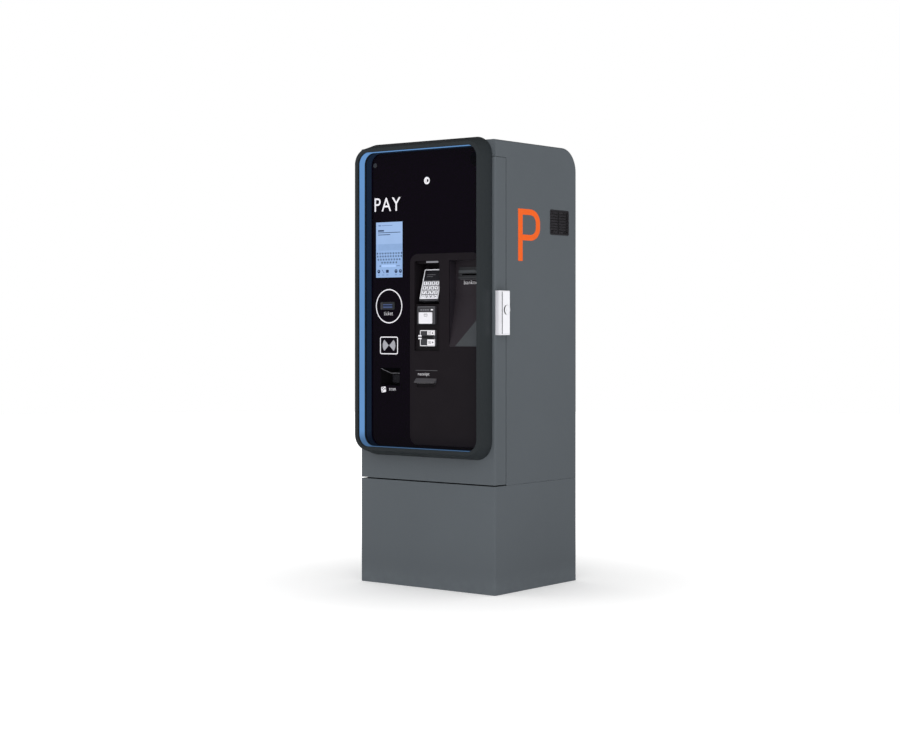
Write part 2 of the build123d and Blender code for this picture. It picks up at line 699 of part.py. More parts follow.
def make_scan_hood():
    floor_y = GLASS_Y + SCAN_DEPTH
    tub = scan_cone(POCKET_WALL, GLASS_Y, floor_y + POCKET_WALL)
    rim = outline(grow(SCAN_X, SCAN_RIM_W), grow(SCAN_Z, SCAN_RIM_W), 4)
    tub += slab(rim, GLASS_BACK_Y, GLASS_BACK_Y + SCAN_RIM_T)
    window = outline(grow(SCAN_INNER_X, -SCAN_WINDOW_INSET), grow(SCAN_INNER_Z, -SCAN_WINDOW_INSET), 2)
    return tub - scan_cone(0, GLASS_Y, floor_y) - slab(window, floor_y - 1, floor_y + POCKET_WALL + 1)


def make_barcode_scanner():
    floor_y = GLASS_Y + SCAN_DEPTH + POCKET_WALL
    x, z = grow(SCAN_INNER_X, SCANNER_RIM), grow(SCAN_INNER_Z, SCANNER_RIM)
    front = block(x, (floor_y, RAIL_BACK_Y), z)
    rear = block(x, (RAIL_BACK_Y, RAIL_BACK_Y + SCANNER_D), z)
    return front + rear + module_flange(grow(SCAN_INNER_Z, 10))


def camera_disc(y, r):
    """A round outline about the camera's axis at one depth."""
    return at_depth(y, Pos(CAMERA_X, CAMERA_Z) * Circle(r))


def make_camera_unit():
    ring_y = GLASS_Y - CAMERA_RING_PROUD
    ring_front = camera_disc(ring_y, CAMERA_RING_R - CAMERA_RING_TAPER)
    ring = loft([camera_disc(GLASS_Y, CAMERA_RING_R), ring_front])
    neck = post_y(CAMERA_X, CAMERA_Z, CAMERA_NECK_R, GLASS_Y, MODULE_FRONT_Y)
    body = block(about(CAMERA_X, CAMERA_BODY), (MODULE_FRONT_Y, MODULE_FRONT_Y + CAMERA_BODY_D),
                 about(CAMERA_Z, CAMERA_BODY))
    dish_front = camera_disc(ring_y, CAMERA_LENS_R + CAMERA_LENS_FLARE)
    dish = loft([dish_front, camera_disc(GLASS_Y + 1, CAMERA_LENS_R)])
    return ring + neck + body - dish


# ---------------------------------------------------------------- module panel

def note_ramp_profile(by, front_y):
    """Depth and height outline of the note pocket, grown by its wall, with its ramp up to the panel."""
    back = NOTE_BACK_Y + by
    points = [(front_y, NOTE_Z[0]), (back, NOTE_RAMP_Z), (back, NOTE_Z[1] + by), (front_y, NOTE_Z[1] + by)]
    if by > 0:
        points.insert(1, (PANEL_Y + by, NOTE_Z[0]))
    return make_face(Polyline(*points, close=True))


def make_module_panel():
    panel = slab(outline(PANEL_X, PANEL_Z, PANEL_R), PANEL_Y, DOOR_SKIN_BACK_Y)
    panel = chamfer(panel.faces().sort_by(Axis.Y)[0].edges(), 1.2)
    hollow = outline(grow(PANEL_X, -PANEL_T), grow(PANEL_Z, -PANEL_T), PANEL_R - PANEL_T)
    panel -= slab(hollow, PANEL_BACK_Y, DOOR_SKIN_BACK_Y + 1)
    cuts = outline(POS_X, POS_Z, 4) + outline(NOTE_X, NOTE_Z) + outline(RECEIPT_X, RECEIPT_Z, 2)
    return panel - slab(cuts, PANEL_Y - 1, PANEL_BACK_Y + 1)


def make_pos_pocket():
    wall_x = grow(POS_X, POCKET_WALL)
    shallow_y = PANEL_Y + POS_SHALLOW
    deep_y = PANEL_Y + POS_DEEP
    deep_z = (POS_STEP_Z - POCKET_WALL, POS_Z[1] + POCKET_WALL)
    tub = block(wall_x, (PANEL_BACK_Y, deep_y + POCKET_WALL), deep_z)
    tub += block(wall_x, (PANEL_BACK_Y, shallow_y + SHEET), (POS_Z[0] - POCKET_WALL, POS_STEP_Z))
    tub -= block(POS_X, (PANEL_BACK_Y - 1, deep_y), (POS_STEP_Z, POS_Z[1]))
    tub -= block(POS_X, (PANEL_BACK_Y - 1, shallow_y), (POS_Z[0], POS_STEP_Z + 1))
    for x, z in ((CONTACTLESS_X, CONTACTLESS_Z), (CHIP_X, CHIP_Z)):
        hole_x, hole_z = grow(x, TOUCH_GAP - READER_INSET), grow(z, TOUCH_GAP - READER_INSET)
        tub -= block(hole_x, (shallow_y - 1, shallow_y + SHEET + 1), hole_z)
    return tub


def reader_body(x, z, depth):
    """A reader: a front that sits on the pocket's plate and a body that passes through it."""
    seat_y = PANEL_Y + POS_SHALLOW
    front = slab(outline(x, z, 4), PANEL_Y - READER_PROUD, seat_y)
    front = chamfer(front.faces().sort_by(Axis.Y)[0].edges(), 1.0)
    return front + block(grow(x, -READER_INSET), (seat_y, seat_y + depth), grow(z, -READER_INSET))


def make_contactless_reader():
    reader = reader_body(CONTACTLESS_X, CONTACTLESS_Z, CONTACTLESS_D)
    face_y = PANEL_Y - READER_PROUD
    recess = outline(grow(CONTACTLESS_X, -CONTACTLESS_RIM), grow(CONTACTLESS_Z, -CONTACTLESS_RIM), 3)
    return reader - slab(recess, face_y - 1, face_y + CONTACTLESS_RECESS)


def make_chip_reader():
    reader = reader_body(CHIP_X, CHIP_Z, CHIP_D)
    face_y = PANEL_Y - READER_PROUD
    wing_y = face_y - CHIP_WING_PROUD
    wing_x = (CHIP_X[0] - CHIP_WING, CHIP_X[1])
    reader += block(wing_x, (wing_y, face_y + CHIP_WING_SEAT), about(CHIP_SLOT_Z, CHIP_WING_H))
    slot_x = about((CHIP_X[0] + CHIP_X[1]) / 2, CHIP_SLOT_W)
    slot = block(slot_x, (wing_y - 1, face_y + CHIP_SLOT_D), about(CHIP_SLOT_Z, CHIP_SLOT_H))
    return reader - slot


def pin_plane(lift=0.0):
    """The PIN pad's tilted face: local X to the right, local Y up the slope, local Z out of the face."""
    tilt = radians(PIN_TILT)
    middle_x = (PIN_X[0] + PIN_X[1]) / 2
    normal = (0, -cos(tilt), sin(tilt))
    origin = (middle_x, PIN_BOTTOM_Y + lift * normal[1], PIN_BOTTOM_Z + lift * normal[2])
    return Plane(origin=origin, x_dir=(1, 0, 0), z_dir=normal)


def key_places():
    """Each key's middle on the PIN pad's face, from the top left, row by row."""
    left = -KEY_PITCH_X * (KEY_COLUMNS - 1) / 2
    top = KEY_FIRST_Y + KEY_PITCH_Y * (KEY_ROWS - 1)
    places = [(column, row) for row in range(KEY_ROWS) for column in range(KEY_COLUMNS)]
    return [(left + KEY_PITCH_X * column, top - KEY_PITCH_Y * row) for column, row in places]


def make_pinpad_housing():
    width = PIN_X[1] - PIN_X[0]
    face = Pos(0, PIN_LENGTH / 2) * RectangleRounded(width, PIN_LENGTH, PIN_R)
    housing = extrude(pin_plane() * face, amount=-PIN_T)
    window = RectangleRounded(width - 2 * PIN_WINDOW_SIDE, PIN_WINDOW_H, 2)
    window = Pos(0, PIN_LENGTH - PIN_WINDOW_DROP) * window
    housing -= extrude(pin_plane(CUT_PAST) * window, amount=-PIN_WINDOW_T)
    well = KEY_SUNK + KEY_TRAVEL + TOUCH_GAP
    for x, y in key_places():
        hole = Pos(x, y) * RectangleRounded(KEY_W + 2 * KEY_GAP, KEY_H + 2 * KEY_GAP, KEY_R + KEY_GAP)
        housing -= extrude(pin_plane(CUT_PAST) * hole, amount=-well)
    boss_x = about((PIN_X[0] + PIN_X[1]) / 2, PIN_BOSS_W)
    return housing + block(boss_x, (PANEL_Y + PIN_BOSS_FROM, PANEL_Y + POS_DEEP), PIN_BOSS_Z)


def make_key(x, y):
    shape = Pos(x, y) * RectangleRounded(KEY_W, KEY_H, KEY_R)
    key = extrude(pin_plane(-KEY_SUNK) * shape, amount=KEY_SUNK + KEY_PROUD)
    top_face = key.faces().sort_by(lambda f: f.center().dot(pin_plane().z_dir))[-1]
    return fillet(top_face.edges(), 0.8)


def make_note_pocket():
    wall_x = grow(NOTE_X, POCKET_WALL)
    tub = side_slab(note_ramp_profile(POCKET_WALL, PANEL_Y), *wall_x)
    tub -= side_slab(note_ramp_profile(0, PANEL_Y - CUT_PAST), *NOTE_X)
    front = block(grow(NOTE_X, 20), (PANEL_Y - 1, PANEL_BACK_Y), grow(NOTE_Z, 20))
    kept = block(grow(NOTE_X, -TOUCH_GAP), (PANEL_Y - 2, PANEL_BACK_Y + 1), grow(NOTE_Z, -TOUCH_GAP))
    tub -= front - kept
    hole_z = grow(NOTE_SLOT_Z, NOTE_HOLE_RIM)
    hole_y = (NOTE_BACK_Y - 1, NOTE_BACK_Y + POCKET_WALL + 1)
    return tub - block(grow(NOTE_SLOT_X, NOTE_NECK_RIM), hole_y, hole_z)


def make_note_bezel():
    lip_y = NOTE_BACK_Y - NOTE_BEZEL_PROUD
    bezel = block(NOTE_BEZEL_X, (NOTE_BACK_Y - NOTE_BEZEL_T, NOTE_BACK_Y), NOTE_BEZEL_Z)
    for z in (NOTE_LIP_UPPER_Z, NOTE_LIP_LOWER_Z):
        bezel += block(NOTE_BEZEL_X, (lip_y, NOTE_BACK_Y), z)
    bezel -= block(NOTE_BEZEL_X, (lip_y, NOTE_BACK_Y - NOTE_BEZEL_T + 1), NOTE_GROOVE_Z)
    return bezel - block(NOTE_SLOT_X, (lip_y - 1, NOTE_BACK_Y + 1), NOTE_SLOT_Z)


def make_note_acceptor():
    front = NOTE_BACK_Y + POCKET_WALL
    neck_x = grow(NOTE_SLOT_X, NOTE_NECK_RIM - TOUCH_GAP)
    neck_z = grow(NOTE_SLOT_Z, NOTE_HOLE_RIM - TOUCH_GAP)
    body = block(NOTE_BEZEL_X, (front, ACCEPTOR_BACK_Y), ACCEPTOR_Z)
    body += block(neck_x, (NOTE_BACK_Y, front + 1), neck_z)
    return body - block(NOTE_SLOT_X, (NOTE_BACK_Y - 1, front + NOTE_SLOT_D), NOTE_SLOT_Z)


def make_note_cassette():
    front = NOTE_BACK_Y + POCKET_WALL + CASSETTE_SETBACK
    box = block(grow(NOTE_BEZEL_X, -CASSETTE_INSET), (front, ACCEPTOR_BACK_Y - CASSETTE_SHORT), CASSETTE_Z)
    return chamfer(box.edges().filter_by(Axis.Z), 3)


# ---------------------------------------------------------------- receipt

def make_receipt_hood():
    bottom, nose, top = HOOD_LIP_Z
    nose_y = PANEL_Y - HOOD_LIP_PROUD
    points = [(PANEL_Y, top), (nose_y, nose), (nose_y, bottom), (PANEL_Y, bottom)]
    return side_slab(make_face(Polyline(*points, close=True)), *HOOD_LIP_X)


def make_receipt_printer():
    body = block(PRINTER_X, (PANEL_BACK_Y, PRINTER_BACK_Y), PRINTER_Z)
    body -= block(RECEIPT_X, (PANEL_BACK_Y - 1, PRINTER_BACK_Y - 20), RECEIPT_Z)
    arm_y = (PRINTER_BACK_Y, ROLL_Y + 12)
    for x in ((PRINTER_X[0], PRINTER_X[0] + ARM_T), (PRINTER_X[1] - ARM_T, PRINTER_X[1])):
        body += block(x, arm_y, about(ROLL_Z, 40))
    return body + post_x(ROLL_Y, ROLL_Z, SPINDLE_R, PRINTER_X[0] + 1, PRINTER_X[1] - 1)


def make_paper_roll():
    low, high = about(ROLL_MID_X, ROLL_W)
    bore = post_x(ROLL_Y, ROLL_Z, SPINDLE_R + RUNNING_GAP, low - 1, high + 1)
    return post_x(ROLL_Y, ROLL_Z, ROLL_R, low, high) - bore


# ---------------------------------------------------------------- lock

def make_lock_housing():
    housing = block((HALF_W, LOCK_FACE_X), LOCK_Y, LOCK_Z)
    housing = chamfer(housing.faces().sort_by(Axis.X)[-1].edges(), LOCK_EDGE)
    housing -= post_x(LOCK_AXIS_Y, LOCK_AXIS_Z, LOCK_RECESS_R, LOCK_FACE_X - LOCK_RECESS_T, LOCK_FACE_X + 1)
    housing -= post_x(LOCK_AXIS_Y, LOCK_AXIS_Z, LOCK_SPINDLE_R + RUNNING_GAP, HALF_W - 1, LOCK_FACE_X)
    groove_y = (LOCK_Y[0] + LOCK_EDGE + 2, LOCK_Y[0] + LOCK_EDGE + 2 + LOCK_GROOVE_W)
    return housing - block((LOCK_FACE_X - LOCK_GROOVE_T, LOCK_FACE_X + 1), groove_y, grow(LOCK_Z, -7))


def make_lock_rotor():
    seat_x = LOCK_FACE_X - LOCK_RECESS_T + TOUCH_GAP
    rotor = post_x(LOCK_AXIS_Y, LOCK_AXIS_Z, LOCK_ROTOR_R, seat_x, LOCK_FACE_X - 0.5)
    rotor -= block((LOCK_FACE_X - 3, LOCK_FACE_X), about(LOCK_AXIS_Y, 2.4), about(LOCK_AXIS_Z, 9))
    rotor += post_x(LOCK_AXIS_Y, LOCK_AXIS_Z, LOCK_SPINDLE_R, CAM_X[0], seat_x + 1)
    cam = block(CAM_X, about(LOCK_AXIS_Y, 2 * CAM_HALF_W), about(LOCK_AXIS_Z, 2 * CAM_HALF_LENGTH))
    return rotor + fillet(cam.edges().filter_by(Axis.X), CAM_HALF_W - 1)


def make_latch_rod(z):
    return block(ROD_X, about(LOCK_AXIS_Y, 2 * ROD_HALF_W), z)


# ---------------------------------------------------------------- cabinet interior

def make_vent_grille():
    frame = side_slab(outline(grow(VENT_Y, -TOUCH_GAP), grow(VENT_Z, -TOUCH_GAP), VENT_R - TOUCH_GAP),
                      HALF_W - SHEET, HALF_W)
    mouth = outline(grow(VENT_Y, -VENT_RIM), grow(VENT_Z, -VENT_RIM), VENT_R - VENT_RIM)
    frame -= side_slab(mouth, HALF_W - SHEET - 1, HALF_W + 1)
    count = int((VENT_Z[1] - VENT_Z[0] - 2 * VENT_RIM) / VENT_PITCH)
    first = VENT_MID_Z - VENT_PITCH * (count - 1) / 2
    for i in range(count):
        slat = Rot(0, VENT_SLAT_TILT, 0) * Box(VENT_SLAT, VENT_W - 2 * VENT_RIM + 1, VENT_SLAT_T)
        frame += Pos(HALF_W - SHEET / 2, VENT_MID_Y, first + i * VENT_PITCH) * slat
    stile = block((HALF_W - SHEET, HALF_W - 1), about(VENT_MID_Y, VENT_STILE_W), grow(VENT_Z, 1 - VENT_RIM))
    return frame + stile


def make_fan_housing():
    seat_x = HALF_W - SHEET
    outer_x = seat_x - FAN_STANDOFF
    inner_x = outer_x - FAN_T
    square = outline(about(VENT_MID_Y, FAN_SIZE), about(VENT_MID_Z, FAN_SIZE), 4)
    housing = side_slab(square - Pos(VENT_MID_Y, VENT_MID_Z) * Circle(FAN_BORE_R), inner_x, outer_x)
    foot = FAN_SIZE / 2 - FAN_FOOT_INSET
    for y in grow((VENT_MID_Y, VENT_MID_Y), foot):
        for z in grow((VENT_MID_Z, VENT_MID_Z), foot):
            housing += post_x(y, z, FAN_FOOT_R, outer_x - 1, seat_x)
    spider_x = (inner_x, inner_x + FAN_SPIDER_T)
    span = 2 * FAN_BORE_R + 2
    housing += block(spider_x, about(VENT_MID_Y, span), about(VENT_MID_Z, FAN_SPIDER_W))
    housing += block(spider_x, about(VENT_MID_Y, FAN_SPIDER_W), about(VENT_MID_Z, span))
    housing += post_x(VENT_MID_Y, VENT_MID_Z, FAN_MOTOR_R, inner_x, inner_x + FAN_MOTOR_T)
    return housing + post_x(VENT_MID_Y, VENT_MID_Z, FAN_POST_R, inner_x, inner_x + FAN_POST_LENGTH)


def make_fan_rotor():
    low = HALF_W - SHEET - FAN_STANDOFF - FAN_T + FAN_MOTOR_T + TOUCH_GAP
    high = low + FAN_ROTOR_T
    rotor = post_x(VENT_MID_Y, VENT_MID_Z, FAN_HUB_R, low, high)
    blade_length = FAN_BLADE_R - FAN_HUB_R + 1
    for i in range(FAN_BLADES):
        blade = Rot(0, 0, 38) * Box(18, 2, blade_length)
        blade = Pos(0, 0, FAN_HUB_R - 1 + blade_length / 2) * blade
        turn = Rot(360 / FAN_BLADES * i, 0, 0)
        rotor += Pos((low + high) / 2, VENT_MID_Y, VENT_MID_Z) * turn * blade
    rotor -= post_x(VENT_MID_Y, VENT_MID_Z, FAN_POST_R + RUNNING_GAP, low - 1, high - 2)
    return rotor & post_x(VENT_MID_Y, VENT_MID_Z, FAN_BLADE_R, low, high)


def make_mounting_plate():
    plate = block(PLATE_X, (PLATE_FRONT_Y, PLATE_FRONT_Y + PLATE_T), PLATE_Z)
    for x in grow(PLATE_X, -PLATE_POST_INSET_X):
        for z in grow(PLATE_Z, -PLATE_POST_INSET_Z):
            plate += post_y(x, z, PLATE_POST_R, PLATE_FRONT_Y + PLATE_T, BODY_BACK_INNER_Y)
    return plate


def on_plate(x, z, depth, edge):
    """A cased unit standing on the mounting plate, with softened front edges."""
    unit = block(x, (PLATE_FRONT_Y - depth, PLATE_FRONT_Y), z)
    return chamfer(unit.faces().sort_by(Axis.Y)[0].edges(), edge)


def make_controller_unit():
    case = on_plate(CONTROLLER_X, CONTROLLER_Z, CONTROLLER_D, 2)
    front = PLATE_FRONT_Y - CONTROLLER_D
    for i in range(CONTROLLER_SLOTS):
        z = about(CONTROLLER_Z[0] + CONTROLLER_SLOT_FROM + CONTROLLER_SLOT_PITCH * i, 4)
        case -= block(grow(CONTROLLER_X, -30), (front - 1, front + 3), z)
    return case


def make_backup_battery():
    case = on_plate(BATTERY_X, BATTERY_Z, BATTERY_D, 3)
    y = PLATE_FRONT_Y - BATTERY_D + TERMINAL_INSET
    for x in grow(BATTERY_X, -TERMINAL_INSET):
        case += post_z(x, y, TERMINAL_R, BATTERY_Z[1], BATTERY_Z[1] + TERMINAL_H)
    return case


# ---------------------------------------------------------------- write the parts

os.makedirs("parts", exist_ok=True)
PARTS = {
    "plinth": make_plinth(),
    "anchor_plate": make_anchor_plate(),
    "body_floor": make_body_floor(),
    "rear_body": make_rear_body(),
    "door_seal": make_door_seal(),
    "hinge_fixed": make_hinge_fixed(),
    "hinge_moving": make_hinge_moving(),
    "hinge_pins": make_hinge_pins(),
    "fixing_screws": make_fixing_screws(),
    "door_shell": make_door_shell(),
    "module_rails": make_module_rails(),
    "bezel_frame": make_bezel_frame(),
    "light_strip": make_light_strip(),
    "front_glass": make_front_glass(),
    "display_module": make_display_module(),
    "ticket_bezel": make_ticket_bezel(),
    "ticket_unit": make_ticket_unit(),
    "proximity_reader": make_proximity_reader(),
    "scan_hood": make_scan_hood(),
    "barcode_scanner": make_barcode_scanner(),
    "camera_unit": make_camera_unit(),
    "module_panel": make_module_panel(),
    "pos_pocket": make_pos_pocket(),
    "contactless_reader": make_contactless_reader(),
    "chip_reader": make_chip_reader(),
    "pinpad_housing": make_pinpad_housing(),
    "note_pocket": make_note_pocket(),
    "note_bezel": make_note_bezel(),
    "note_acceptor": make_note_acceptor(),
    "note_cassette": make_note_cassette(),
    "receipt_hood": make_receipt_hood(),
    "receipt_printer": make_receipt_printer(),
    "paper_roll": make_paper_roll(),
    "lock_housing": make_lock_housing(),
    "lock_rotor": make_lock_rotor(),
    "latch_rod_upper": make_latch_rod((LOCK_AXIS_Z + ROD_CAM_GAP, DOOR_TOP - SHEET - ROD_REST_GAP)),
    "latch_rod_lower": make_latch_rod((DOOR_BOTTOM + SHEET + ROD_REST_GAP, LOCK_AXIS_Z - ROD_CAM_GAP)),
    "vent_grille": make_vent_grille(),
    "fan_housing": make_fan_housing(),
    "fan_rotor": make_fan_rotor(),
    "mounting_plate": make_mounting_plate(),
    "power_supply": on_plate(POWER_X, POWER_Z, POWER_D, 2),
    "controller_unit": make_controller_unit(),
    "backup_battery": make_backup_battery(),
}
for number, (key_x, key_y) in enumerate(key_places(), start=1):
    PARTS["key_%02d" % number] = make_key(key_x, key_y)
for node, part in PARTS.items():
    save(node, part)
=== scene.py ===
import math

import bmesh
import bpy
from mathutils import Matrix, Vector


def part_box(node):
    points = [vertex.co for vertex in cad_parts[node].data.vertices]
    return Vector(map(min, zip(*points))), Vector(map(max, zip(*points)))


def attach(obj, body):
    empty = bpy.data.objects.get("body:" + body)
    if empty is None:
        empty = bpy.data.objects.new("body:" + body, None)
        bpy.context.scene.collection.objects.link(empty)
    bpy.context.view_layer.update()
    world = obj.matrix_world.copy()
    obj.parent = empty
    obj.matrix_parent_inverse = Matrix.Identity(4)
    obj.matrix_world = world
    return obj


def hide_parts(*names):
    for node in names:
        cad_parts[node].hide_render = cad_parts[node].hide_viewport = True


bl_info = {
    "name": "Ticket Vending Machine Looks",
    "version": (1, 0, 0),
    "blender": (4, 5, 0),
    "location": "3D View > Sidebar > Ticket Machine",
    "description": "Finishes, printed signs, lights and small fittings of a ticket vending machine",
    "category": "Object",
}

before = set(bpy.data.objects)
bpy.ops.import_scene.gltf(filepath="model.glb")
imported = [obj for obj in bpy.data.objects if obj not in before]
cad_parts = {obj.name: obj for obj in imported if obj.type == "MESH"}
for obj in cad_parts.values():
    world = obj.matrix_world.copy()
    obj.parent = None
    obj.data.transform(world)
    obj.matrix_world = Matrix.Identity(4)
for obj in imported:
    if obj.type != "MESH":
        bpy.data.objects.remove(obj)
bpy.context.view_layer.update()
MM = 0.001


# ---------------------------------------------------------------- places taken from the frame

def extent(node):
    """A CAD node's lowest and highest corner, in millimetres."""
    low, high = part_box(node)
    return [v / MM for v in low], [v / MM for v in high]


def middle(node):
    """The middle of a CAD node's box, in millimetres."""
    low, high = extent(node)
    return [(a + b) / 2 for a, b in zip(low, high)]


GLASS_Y = extent("front_glass")[0][1]
GLASS_Z = (extent("front_glass")[0][2], extent("front_glass")[1][2])
PANEL_Y = extent("module_panel")[0][1]
RIM_Y = extent("bezel_frame")[0][1]
DOOR_Y = extent("door_shell")[0][1]
SIDE_X = extent("rear_body")[1][0]
LOCK_LOW, LOCK_HIGH = extent("lock_housing")
PLATE_Y = extent("mounting_plate")[0][1]
LOCK_AXIS = (-235.0, 1064.0)
SPEAKER = (251, 1630)
GLOSSY_SKY = 0.07
POCKET_LOW, POCKET_HIGH = extent("pos_pocket")


class Face:
    """A flat working face: millimetres to its right, up it and out of it."""

    def __init__(self, origin, right, up):
        right, up = Vector(right).normalized(), Vector(up).normalized()
        axes = Matrix((right, up, right.cross(up))).transposed().to_4x4()
        self.matrix = Matrix.Translation(Vector(origin) * MM) @ axes

    def settle(self, piece, lift=0.0):
        """Put a piece that was modelled flat at the origin on this face, and apply its place."""
        piece.matrix_world = self.matrix @ Matrix.Translation((0, 0, lift * MM))
        only(piece)
        bpy.ops.object.transform_apply(location=True, rotation=True, scale=True)
        return piece


def front_face(y):
    """A face that looks out of the front at one depth."""
    return Face((0, y, 0), (1, 0, 0), (0, 0, 1))


def right_face(x):
    """A face that looks out of the right side."""
    return Face((x, 0, 0), (0, 1, 0), (0, 0, 1))


def inner_face(y):
    """A face on the door's inside, that looks to the back. Its right is towards -X."""
    return Face((0, y, 0), (-1, 0, 0), (0, 0, 1))


KEY_TILT = math.radians(16.1)
PIN_FACE = Face((25, PANEL_Y + 4, 1100), (1, 0, 0), (0, math.sin(KEY_TILT), math.cos(KEY_TILT)))
RAMP_RISE = (0, 42.0, 193.0)
RAMP_FACE = Face((0, PANEL_Y, 926), (1, 0, 0), RAMP_RISE)
GLASS = front_face(GLASS_Y)
PANEL = front_face(PANEL_Y)
SIDE = right_face(SIDE_X)


# ---------------------------------------------------------------- finishes

class Wire:
    """A value in a finish's node tree. Arithmetic on it adds Math nodes."""

    def __init__(self, finish, socket):
        self.finish = finish
        self.socket = socket

    def __add__(self, other):
        return self.finish.math("ADD", self, other)

    def __sub__(self, other):
        return self.finish.math("SUBTRACT", self, other)

    def __rsub__(self, other):
        return self.finish.math("SUBTRACT", other, self)

    def __mul__(self, other):
        return self.finish.math("MULTIPLY", self, other)

    __radd__ = __add__
    __rmul__ = __mul__


class Finish:
    """A finish being mixed: its material, its shader and the nodes that vary it."""

    def __init__(self, name, **constants):
        self.material = bpy.data.materials.new(name + "_look")
        self.material.use_nodes = True
        self.tree = self.material.node_tree
        self.shader = self.tree.nodes["Principled BSDF"]
        for socket, value in constants.items():
            self.feed(self.shader.inputs[socket.replace("_", " ")], value)
        self.point = self.node("TexCoord", output="Object")

    def feed(self, target, value):
        """Give a socket a value or a link."""
        if isinstance(value, Wire):
            self.tree.links.new(value.socket, target)
        else:
            target.default_value = value

    def node(self, kind, settings=None, sockets=None, output=0):
        """Add a node of a type, with its settings first and then its sockets."""
        node = self.tree.nodes.new("ShaderNode" + kind)
        for key, value in (settings or {}).items():
            setattr(node, key, value)
        for key, value in (sockets or {}).items():
            self.feed(node.inputs[key], value)
        return Wire(self, node.outputs[output])

    def math(self, operation, first, second=0.0, clamp=False):
        """A Math node on two values."""
        return self.node("Math", {"operation": operation, "use_clamp": clamp}, {0: first, 1: second})

    def step(self, value, low, high):
        """0 below low and 1 above high, smooth between them."""
        return self.node("MapRange", {"interpolation_type": "SMOOTHSTEP"},
                         {"Value": value, "From Min": low, "From Max": high})

    def noise(self, scale, detail=2.0, stretch=(1, 1, 1)):
        """Cloudy noise on the object's own coordinates, in features per metre."""
        place = self.node("Mapping", {"vector_type": "POINT"}, {"Vector": self.point, "Scale": stretch})
        return self.node("TexNoise", {}, {"Vector": place, "Scale": scale, "Detail": detail})

    def cells(self, scale):
        """A random value for each cell of a Voronoi pattern."""
        colour = self.node("TexVoronoi", {}, {"Vector": self.point, "Scale": scale}, output="Color")
        return self.node("SeparateColor", {}, {0: colour})

    def axis(self, name):
        """One coordinate of the point, in metres."""
        return self.node("SeparateXYZ", {}, {0: self.point}, output=name)

    def blend(self, factor, first, second):
        """Two colours mixed by a factor."""
        return self.node("Mix", {"data_type": "RGBA"}, {0: factor, 6: first, 7: second}, output=2)

    def colour(self, value):
        self.feed(self.shader.inputs["Base Color"], value)

    def rough(self, value):
        self.feed(self.shader.inputs["Roughness"], value)

    def bump(self, height, distance, strength=1.0):
        """Raise the surface by a height in metres times the pattern."""
        normal = self.node("Bump", {}, {"Height": height, "Distance": distance, "Strength": strength},
                           output="Normal")
        self.feed(self.shader.inputs["Normal"], normal)


def linear(value):
    """A display value from 0 to 255 as linear light."""
    value /= 255.0
    return value / 12.92 if value <= 0.04045 else ((value + 0.055) / 1.055) ** 2.4


def tint(red, green, blue, gain=1.0):
    """A display colour as a linear shader colour."""
    return tuple(linear(v) * gain for v in (red, green, blue)) + (1.0,)


def lighter(colour, gain):
    """A linear colour made lighter or darker."""
    return tuple(min(1.0, v * gain) for v in colour[:3]) + (1.0,)


def powder_coat(name, colour, dusty=False, roughness=0.5):
    """Polyester powder coat on sheet steel: fine orange peel, faint cloudiness, a little dust low down."""
    mix = Finish(name, Specular_IOR_Level=0.35)
    cloud = mix.noise(2.2, 3.0)
    speck = mix.noise(420.0, 1.0)
    shade = mix.blend(cloud, lighter(colour, 0.93), lighter(colour, 1.07))
    shade = mix.blend(mix.step(speck, 0.62, 0.75) * 0.25, shade, lighter(colour, 1.3))
    if dusty:
        low = 1.0 - mix.step(mix.axis("Z"), 0.0, 0.09)
        shade = mix.blend(low * mix.noise(38.0, 4.0) * 0.35, shade, lighter(colour, 1.9))
    mix.colour(shade)
    mix.rough(mix.noise(9.0, 2.0) * 0.12 + (roughness - 0.06))
    mix.bump(mix.noise(720.0, 2.0), 0.00009, 0.55)


def moulded(name, colour, roughness=0.48, grain=0.00006, specular=0.3):
    """Injection-moulded plastic with a spark-eroded grain."""
    mix = Finish(name, Specular_IOR_Level=specular)
    mix.colour(mix.blend(mix.noise(14.0, 3.0), lighter(colour, 0.9), lighter(colour, 1.12)))
    mix.rough(mix.noise(60.0, 2.0) * 0.1 + (roughness - 0.05))
    mix.bump(mix.noise(1500.0, 2.0), grain, 0.6)


def brushed(name, colour, roughness=0.34, stretch=(1, 40, 40), metallic=0.4):
    """Brushed sheet metal: long fine scratches across the stretch."""
    mix = Finish(name, Metallic=metallic)
    lines = mix.noise(60.0, 3.0, stretch)
    mix.colour(mix.blend(lines, lighter(colour, 0.82), lighter(colour, 1.12)))
    mix.rough(lines * 0.2 + (roughness - 0.1))
    mix.bump(lines, 0.00004, 0.4)


def galvanised(name, colour):
    """Zinc-plated steel with pale spangles and a dull bloom."""
    mix = Finish(name, Metallic=0.4)
    spangle = mix.cells(90.0)
    bloom = mix.step(mix.noise(7.0, 4.0), 0.45, 0.7)
    shade = mix.blend(spangle, lighter(colour, 0.8), lighter(colour, 1.1))
    mix.colour(mix.blend(bloom * 0.4, shade, lighter(colour, 1.25)))
    mix.rough(spangle * 0.18 + bloom * 0.15 + 0.28)
    mix.bump(mix.noise(300.0, 2.0), 0.00004, 0.4)


def lacquered(name, colour, roughness=0.32):
    """Smooth wet lacquer with soft orange peel."""
    mix = Finish(name, Specular_IOR_Level=0.4, Coat_Weight=0.3, Coat_Roughness=0.2)
    mix.colour(mix.blend(mix.noise(9.0, 3.0), lighter(colour, 0.95), lighter(colour, 1.03)))
    mix.rough(mix.noise(25.0, 2.0) * 0.1 + (roughness - 0.05))
    mix.bump(mix.noise(350.0, 2.0), 0.00006, 0.4)


